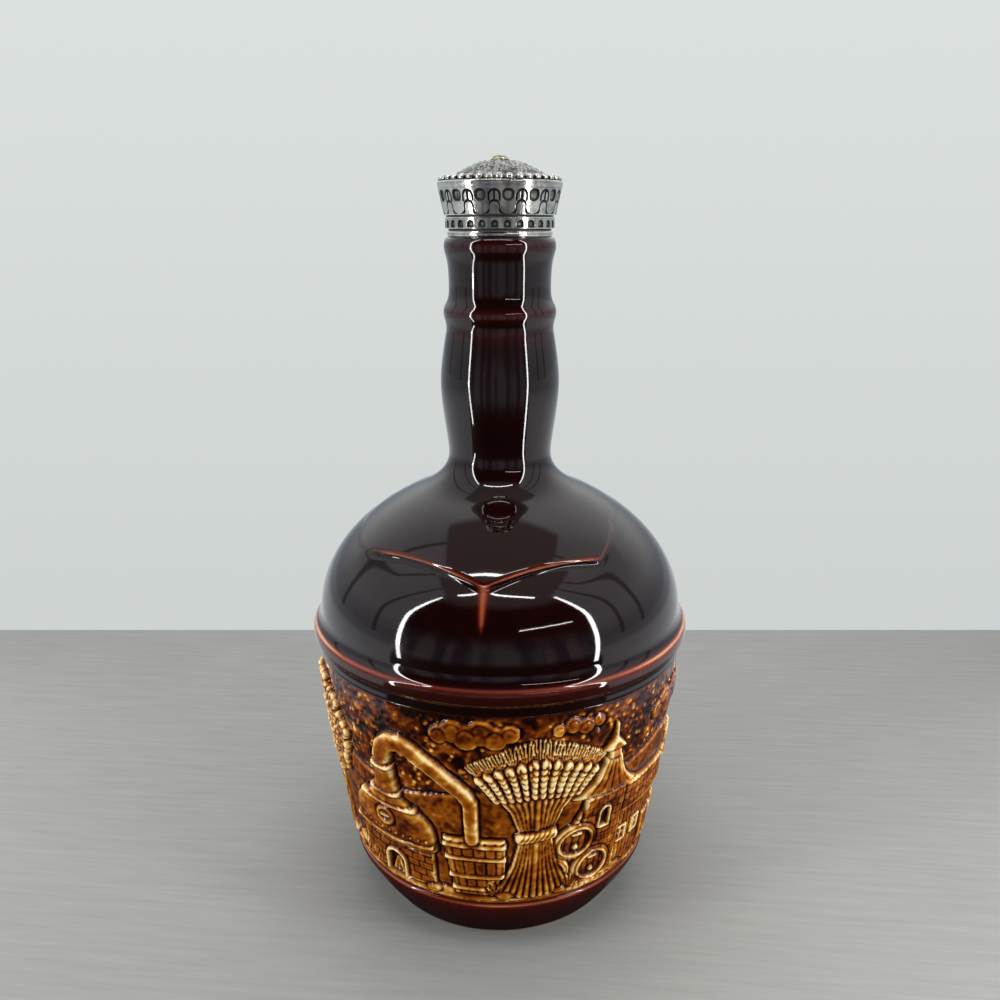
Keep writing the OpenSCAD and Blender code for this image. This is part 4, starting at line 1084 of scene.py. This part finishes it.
def make_ring_tree():
    """Geometry nodes that set copies of a mesh round the axis, weld them and finish them."""
    tree = bpy.data.node_groups.new("round_the_cap", "GeometryNodeTree")
    for name, kind in (("Geometry", "Geometry"), ("Count", "Int"), ("First turn", "Float"),
                       ("Weld", "Float"), ("Finish", "Material")):
        tree.interface.new_socket(name=name, in_out="INPUT", socket_type="NodeSocket" + kind)
    tree.interface.new_socket(name="Geometry", in_out="OUTPUT", socket_type="NodeSocketGeometry")
    given = {s.name: Wire(tree, s) for s in tree.nodes.new("NodeGroupInput").outputs}
    line = node_of(tree, "GeometryNodeMeshLine", Count=given["Count"], Offset=(0, 0, 0))
    index = node_of(tree, "GeometryNodeInputIndex")
    turn = index * (2 * math.pi) / given["Count"] + given["First turn"]
    copies = node_of(tree, "GeometryNodeInstanceOnPoints", Points=line, Instance=given["Geometry"],
                     Rotation=node_of(tree, "ShaderNodeCombineXYZ", Z=turn))
    real = node_of(tree, "GeometryNodeRealizeInstances", copies)
    weld = node_of(tree, "GeometryNodeMergeByDistance", Geometry=real, Distance=given["Weld"])
    finish = node_of(tree, "GeometryNodeSetMaterial", Geometry=weld, Material=given["Finish"])
    finish.to(tree.nodes.new("NodeGroupOutput").inputs[0])
    return tree


ring_tree = make_ring_tree()


def round_the_cap(piece, count, first_turn, weld, finish):
    """Repeats a piece round the axis and keeps the result as its plain mesh."""
    modifier = piece.modifiers.new("round_the_cap", "NODES")
    modifier.node_group = ring_tree
    wanted = {"Count": count, "First turn": first_turn, "Weld": weld, "Finish": finish}
    for item in ring_tree.interface.items_tree:
        if item.in_out == "INPUT" and item.name in wanted:
            modifier[item.identifier] = wanted[item.name]
    graph = bpy.context.evaluated_depsgraph_get()
    made = bpy.data.meshes.new_from_object(piece.evaluated_get(graph))
    piece.modifiers.clear()
    piece.data = made
    made.shade_smooth()


def plated(name, bright, dull, black, roughness, tarnish):
    """Silvery plate on a casting, dulled in patches and blackened where its mesh says so."""
    material, shader, place = new_finish(name)
    patch = place.noise(260.0, 4.0, 0.6)
    sooty = (kept_on_mesh(place.tree, "black") + (patch - 0.5) * 0.5).ramp(0.25, 0.75)
    colour = (patch.ramp(0.42, 0.75) * tarnish).mix(linear(*bright), linear(*dull))
    sooty.mix(colour, linear(*black)).to(shader["Base Color"])
    (sooty * -0.85 + 1.0).to(shader["Metallic"])
    (patch.math("MULTIPLY_ADD", 0.18, roughness - 0.09) + sooty * 0.4).to(shader["Roughness"])
    bump(shader, place.noise(2600.0), 0.35, 0.03)
    return material


plated_silver = plated("plated_silver", (214, 211, 201), (138, 133, 120), (12, 12, 13), 0.16, 0.8)
crown_piece = skin("crown_wall", turned(sector_r, sector_z, sector_turn[None, :]), plated_silver,
                   looped=True, wrapped=False, black=sector_black)
round_the_cap(crown_piece, SECTORS, 0.0, 0.004 * MM, plated_silver)
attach(crown_piece, "stopper")
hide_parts("crown_shell")

# Beads
# The ring of beads cast on the crown's rim, a little longer round the ring than across it.
BEADS, BEAD_RING_R, BEAD_R = 38, 16.3, 1.05
BEAD_ROWS, BEAD_COLUMNS = 11, 20
BEAD_LONG, BEAD_WIDE, BEAD_HIGH = 1.04, 0.93, 0.98
bead_silver = plated("bead_silver", (226, 224, 216), (160, 156, 144), (12, 12, 13), 0.20, 0.6)


def plump(value):
    return np.sign(value) * np.abs(value) ** 0.85


polar = np.linspace(0, math.pi, BEAD_ROWS + 2)[1:-1, None]
round_it = all_round(BEAD_COLUMNS)[None, :]
bead_middle = np.array([0, -BEAD_RING_R, PLATE_Z + BEAD_R / 2])
bead = bead_middle + BEAD_R * np.stack(
    [BEAD_LONG * np.sin(polar) * plump(np.cos(round_it)),
     BEAD_WIDE * np.sin(polar) * plump(np.sin(round_it)),
     -BEAD_HIGH * np.cos(polar) + 0 * round_it], -1)
bead_black = np.maximum(np.clip(1.0 - (bead[:, :, 2] - PLATE_Z - 0.05) / 0.5, 0, 1),
                        np.clip((np.abs(bead[:, :, 0]) / BEAD_R - 0.74) / 0.18, 0, 1))
bead_tips = [bead_middle + (0, 0, side * BEAD_HIGH * BEAD_R) for side in (-1, 1)]
beads = skin("crown_beads", bead, bead_silver, *bead_tips, pole_value=(1.0, 0.0), black=bead_black)
round_the_cap(beads, BEADS, math.pi / BEADS, 0.0, bead_silver)
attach(beads, "stopper")
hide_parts("crown_shell")

# Pad
# The low domed pad inside the beads, cast with a fine pebbled skin that holds dirt in its
# hollows, and four pearled ribs that climb to the boss.
PAD_R, PAD_EDGE_Z, PAD_TOP_Z, BOSS_R = 14.95, 220.35, 224.95, 2.6
PAD_COLUMNS, PAD_STEP = 640, 0.135
PEBBLES, PEBBLE_R = 5200, 0.36
RIBS, RIB_HALF_W, RIB_HIGH, PEARL_PITCH = 4, 0.66, 0.42, 1.7
pad_profile = np.vstack([
    [(PAD_R, PLATE_Z), (PAD_R, PAD_EDGE_Z - 0.2)],
    bend((PAD_R - 0.1, PAD_EDGE_Z), (10.87, 221.73), (7.29, 224.49),
         (BOSS_R, PAD_TOP_Z - 0.02), 24)])
pad_rows = along(pad_profile, PAD_STEP, soften=0.1)
pad_azimuth = all_round(PAD_COLUMNS)
pad_dice = np.random.default_rng(5)

# Round grains strewn over the pad, as heights from 0 to 1
pad_grain = np.zeros((len(pad_rows), PAD_COLUMNS))
for _ in range(PEBBLES):
    r0 = math.sqrt(pad_dice.uniform(BOSS_R ** 2, PAD_R ** 2))
    angle = pad_dice.uniform(-math.pi, math.pi)
    near_rows = np.flatnonzero(np.abs(pad_rows[:, 0] - r0) < 2.2 * PEBBLE_R)
    turn = (pad_azimuth - angle + math.pi) % (2 * math.pi) - math.pi
    near = np.flatnonzero(np.abs(turn) * r0 < 2.2 * PEBBLE_R)
    if len(near_rows) and len(near):
        gap = np.hypot((pad_rows[near_rows, 0] - r0)[:, None], (turn[near] * r0)[None, :])
        grain = np.clip(1 - (gap / PEBBLE_R) ** 2, 0, 1)
        where = np.ix_(near_rows, near)
        pad_grain[where] = np.maximum(pad_grain[where], grain * pad_dice.uniform(0.55, 1.0))

on_dome = (pad_rows[:, 1] > PAD_EDGE_Z - 0.3)[:, None]
off_rib = np.full((len(pad_rows), PAD_COLUMNS), 9.0)
for rib_turn in np.arange(RIBS) * (2 * math.pi / RIBS):
    off_this = np.abs(pad_rows[:, :1] * np.sin(pad_azimuth - rib_turn)[None, :])
    off_rib = np.where(np.cos(pad_azimuth - rib_turn)[None, :] > 0,
                       np.minimum(off_rib, off_this), off_rib)
pearl = np.abs(np.sin(math.pi * PAD_STEP * np.arange(len(pad_rows)) / PEARL_PITCH))[:, None]
pearl_half = RIB_HALF_W * (0.55 + 0.45 * pearl)
rib = np.sqrt(np.clip(1 - (off_rib / pearl_half) ** 2, 0, 1)) * (0.35 + 0.65 * pearl ** 0.8)
rib *= np.clip((pad_rows[:, :1] - BOSS_R - 0.5) / 0.9, 0, 1)
pad_high = np.where(rib > 0, RIB_HIGH * rib, (pad_grain - 0.6) * 0.26) * on_dome
under_rows = np.array([(3.2, PAD_TOP_Z - 0.05), (SHANK_HOLE_R, PAD_TOP_Z - 0.05),
                       (SHANK_HOLE_R, PLATE_Z), (8.0, PLATE_Z)])
pad_skin = np.stack([pad_rows[:, :1] + 0.35 * pad_high, pad_rows[:, 1:] + 0.9 * pad_high])
pad_r, pad_z = np.concatenate([pad_skin, level(under_rows, PAD_COLUMNS)], 1)
pad_dirt = np.where(rib > 0, 0.75 - 1.1 * rib, 1.0 - 0.85 * pad_grain)
pad_black = np.vstack([pad_dirt, np.full((len(under_rows), PAD_COLUMNS), 0.2)])
stippled_metal = plated("stippled_metal", (184, 184, 179), (108, 109, 105), (26, 28, 28), 0.28, 0.8)
pad_piece = skin("crown_top_pad", turned(pad_r, pad_z, pad_azimuth[None, :]), stippled_metal,
                 looped=True, black=pad_black)
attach(pad_piece, "stopper")
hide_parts("crown_pad")

# Boss
# The small turned knob whose shank pins the pad down: worn brass with a bright rim.
SHANK_R, SHANK_FOOT_Z, BOSS_H = 1.5, 212.95, 1.5


def brass_material():
    material, shader, place = new_finish("worn_brass")
    patch = place.noise(600.0, 4.0, 0.6)
    patch.ramp(0.35, 0.7).mix(linear(186, 182, 152), linear(142, 142, 120)).to(shader["Base Color"])
    patch.math("MULTIPLY_ADD", 0.3, 0.14).to(shader["Roughness"])
    shader["Metallic"].default_value = 1.0
    bump(shader, place.noise(1600.0), 0.4, 0.04)
    return material


boss_face = [(2.4, 0.0), (2.54, 0.08), (BOSS_R, 0.24), (2.54, 0.4), (2.4, 0.46), (2.32, 0.5),
             (2.3, 0.62), (2.16, 0.9), (1.84, 1.15), (1.4, 1.33), (0.9, 1.44), (0.4, 1.49)]
boss_rows = np.array([(SHANK_R, SHANK_FOOT_Z), (SHANK_R, PAD_TOP_Z)]
                     + [(r, PAD_TOP_Z + h) for r, h in boss_face])
boss_piece = skin("crown_top_boss", turned(boss_rows[:, 0], boss_rows[:, 1], all_round(96)),
                  brass_material(), foot_pole=SHANK_FOOT_Z, head_pole=PAD_TOP_Z + BOSS_H)
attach(boss_piece, "stopper")
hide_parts("crown_boss")

# Table and wall
# The pale grey table that the bottle stands on, and the pale wall behind it. In reflections the
# table shows a painted glow: painted shade close round the bottle, painted light beside it further
# out, dim far off, dark in front, and a painted streak of strip light.
FLOOR_HALF, WALL_H = 2.5, 1.6
WALL_MIDDLE, WALL_TURN = (-0.0166, 0.1794), math.radians(5.3)
STREAK_FROM, STREAK_WAY = (-0.022, -0.051), math.radians(213.0)
STREAK_START, STREAK_SPREAD = 0.30, 0.024
NO_LIGHT, FAR_TENT = (0, 0, 0, 1), (0.42, 0.48, 0.54, 1)


def turn_round(x, y):
    """Degrees round the bottle, from its front."""
    return x.math("ARCTAN2", y * -1.0) * (180 / math.pi)


def opening(turn):
    """The tent's open front, as a share."""
    return turn.ramp(-59.0, -56.5) * turn.ramp(65.0, 62.5)


def dim_room(way):
    """The light and dark of a room beyond the opening."""
    return way.noise(4.3).ramp(0.42, 0.58).mix((0.07, 0.11, 0.16, 1), (0.33, 0.31, 0.32, 1))


def table_material():
    material, shader, place = new_finish("grey_table")
    grey = place.stretched(30.0, 420.0, 1.0).noise(1.0, 4.0, 0.6).mix(
        linear(131, 132, 130), linear(155, 155, 151))
    x, y, _ = place.parts()
    out = (x * x + y * y).math("SQRT")
    # Painted shade on the table close round the bottle, and painted light further out beside it
    beside_it = out.ramp(0.12, 0.22).mix((0.05, 0.05, 0.05, 1), (0.76, 0.80, 0.84, 1))
    beside_it = out.ramp(0.45, 0.95).mix(beside_it, FAR_TENT)
    way = node_of(place.tree, "ShaderNodeCombineXYZ", x / out, y / out)
    before_it = out.ramp(0.34, 0.60).mix((0.010, 0.011, 0.013, 1), dim_room(way))
    mirrored = opening(turn_round(x, y)).mix(beside_it, before_it)
    off_x, off_y = x - STREAK_FROM[0], y - STREAK_FROM[1]
    c, s = math.cos(STREAK_WAY), math.sin(STREAK_WAY)
    ahead = off_x * c + off_y * s
    astray = (off_y * c - off_x * s).math("ABSOLUTE")
    lit = astray.math("LESS_THAN", ahead * STREAK_SPREAD) * ahead.math("GREATER_THAN", STREAK_START)
    # A painted streak of strip light lying across the table
    mirrored = lit.mix(mirrored, (20.0, 20.0, 20.0, 1))
    glossy = node_of(place.tree, "ShaderNodeLightPath", take="Is Glossy Ray")
    glossy.mix(grey, NO_LIGHT).to(shader["Base Color"])
    glossy.mix(NO_LIGHT, mirrored).to(shader["Emission Color"])
    shader["Emission Strength"].default_value = 1.0
    shader["Roughness"].default_value = 0.6
    shader["Specular IOR Level"].default_value = 0.2
    material.cycles.emission_sampling = "NONE"
    return material


def wall_material():
    """The wall shows a pale grey to the camera from the front, painted lighter upwards as light
    falls on it, and nothing from behind.
    """
    material, _, place = new_finish("pale_wall")
    tree = place.tree
    # Painted light: the wall's grey grows lighter upwards
    colour = place.parts()[2].ramp(-0.05, 0.35).mix(linear(205, 210, 209), linear(219, 224, 222))
    glow = node_of(tree, "ShaderNodeEmission", colour, Strength=1.0)
    clear = node_of(tree, "ShaderNodeBsdfTransparent")
    behind = node_of(tree, "ShaderNodeNewGeometry", take="Backfacing")
    node_of(tree, "ShaderNodeMixShader", behind, glow, clear).to(
        tree.nodes["Material Output"].inputs["Surface"])
    tree.nodes.remove(tree.nodes["Principled BSDF"])
    return material


def plane(name, corners, material):
    mesh = bpy.data.meshes.new(name)
    mesh.from_pydata(corners, [], [(0, 1, 2, 3)])
    mesh.materials.append(material)
    made = bpy.data.objects.new(name, mesh)
    bpy.context.scene.collection.objects.link(made)
    return made


plane("table", [(x * FLOOR_HALF, y * FLOOR_HALF, 0)
                for x, y in ((-1, -1), (1, -1), (1, 1), (-1, 1))], table_material())
wall_left, wall_right = ((WALL_MIDDLE[0] + k * FLOOR_HALF * math.cos(WALL_TURN),
                          WALL_MIDDLE[1] + k * FLOOR_HALF * math.sin(WALL_TURN)) for k in (-1, 1))
wall_plane = plane("wall", [(*wall_left, 0), (*wall_right, 0), (*wall_right, WALL_H),
                            (*wall_left, WALL_H)], wall_material())
wall_plane.visible_shadow = wall_plane.visible_diffuse = wall_plane.visible_glossy = False

# Light
# A light tent, for reflections only: pale walls with dark seams, an open front onto a dim room and
# a dark gap overhead. A lit strip stands down each side of the opening and one lies across its
# top, a faint lamp is out in the room, and hidden soft lights fill.


def tent_world():
    """The tent in reflections, a pale grey for the camera and an even grey fill for the rest."""
    world = bpy.data.worlds.new("light_tent")
    bpy.context.scene.world = world
    world.use_nodes = True
    tree = world.node_tree
    tree.nodes.clear()
    way = node_of(tree, "ShaderNodeTexCoord", take="Generated")
    x, y, z = way.parts()
    turn = turn_round(x, y)
    overhead = ((x.math("ABSOLUTE") - z * 0.44).ramp(0.02, -0.02)
                * (y - z * 0.35).ramp(0.05, -0.05))
    walls = turn.math("ABSOLUTE").ramp(112.0, 150.0).mix(
        (0.74, 0.79, 0.83, 1), (1.15, 1.18, 1.20, 1))
    walls = z.ramp(0.0, 0.34).mix(FAR_TENT, walls)
    seams = [(turn - at).math("ABSOLUTE").ramp(2.4, 0.8) for at in (-76.0, -108.0, 84.0, 102.0)]
    seam = seams[0].math("MAXIMUM", seams[1]).math("MAXIMUM", seams[2]).math("MAXIMUM", seams[3])
    walls = (seam * 0.75).mix(walls, (0.08, 0.09, 0.10, 1))
    room = z.ramp(0.36, 0.03).mix((0.008, 0.009, 0.012, 1), dim_room(way.stretched(1.0, 1.0, 0.3)))
    room = z.ramp(0.78, 0.92).mix(room, (0.34, 0.31, 0.31, 1))
    tent = opening(turn).math("MAXIMUM", overhead).mix(walls, room)
    shine, fill, seen = (node_of(tree, "ShaderNodeBackground", colour)
                         for colour in (tent, (0.44, 0.45, 0.46, 1), linear(214, 219, 217)))
    glossy = node_of(tree, "ShaderNodeLightPath", take="Is Glossy Ray")
    to_camera = node_of(tree, "ShaderNodeLightPath", take="Is Camera Ray")
    lit = node_of(tree, "ShaderNodeMixShader", glossy, fill, shine)
    node_of(tree, "ShaderNodeMixShader", to_camera, lit, seen).to(
        tree.nodes.new("ShaderNodeOutputWorld").inputs["Surface"])


tent_world()


def strip(name, place, aim, wide, tall, power, mirrored=True):
    """A lit strip that faces a point. Only what it lights and its reflections show."""
    data = bpy.data.lights.new(name, "AREA")
    data.shape, data.size, data.size_y, data.energy = "RECTANGLE", wide, tall, power
    made = bpy.data.objects.new(name, data)
    bpy.context.scene.collection.objects.link(made)
    made.location = place
    back = np.array(place, float) - np.array(aim, float)
    back /= np.linalg.norm(back)
    side = np.cross((0, 0, 1.0), back)
    side /= np.linalg.norm(side)
    lift = np.cross(back, side)
    made.rotation_euler = Matrix(np.stack([side, lift, back], 1).tolist()).to_euler()
    made.visible_camera = False
    made.visible_glossy = mirrored


strip("strip_left", (-1.029, -0.705, 1.10), (0, 0, 1.10), 0.058, 2.20, 9.6)
strip("strip_right", (0.218, -0.135, 0.27), (0, 0, 0.27), 0.012, 0.50, 0.45)
strip("strip_top", (0.0, -0.165, 0.55), (0, 0, 0.14), 0.30, 0.014, 0.35)
strip("room_lamp", (0.31, -0.46, 0.35), (0, 0, 0.10), 0.34, 0.009, 0.18)
strip("soft_top", (0.0, 0.05, 0.62), (0, 0, 0.0), 0.40, 0.40, 2.0, mirrored=False)
strip("soft_left", (-0.36, -0.06, 0.10), (0, 0, 0.07), 0.24, 0.20, 0.55, mirrored=False)
strip("soft_right", (0.36, -0.04, 0.10), (0, 0, 0.07), 0.24, 0.20, 0.55, mirrored=False)

# Camera
# It stands a little to the right of the bottle's front, looking down, as the photograph's did.
camera_data = bpy.data.cameras.new("camera")
camera_data.lens, camera_data.sensor_width = 33.12, 36.0
camera = bpy.data.objects.new("camera", camera_data)
bpy.context.scene.collection.objects.link(camera)
camera.location = (0.0251, -0.2703, 0.2080)
camera.rotation_euler = (math.radians(73.313), 0, math.radians(5.3))
bpy.context.scene.camera = camera
bpy.context.scene.view_settings.view_transform = "Standard"
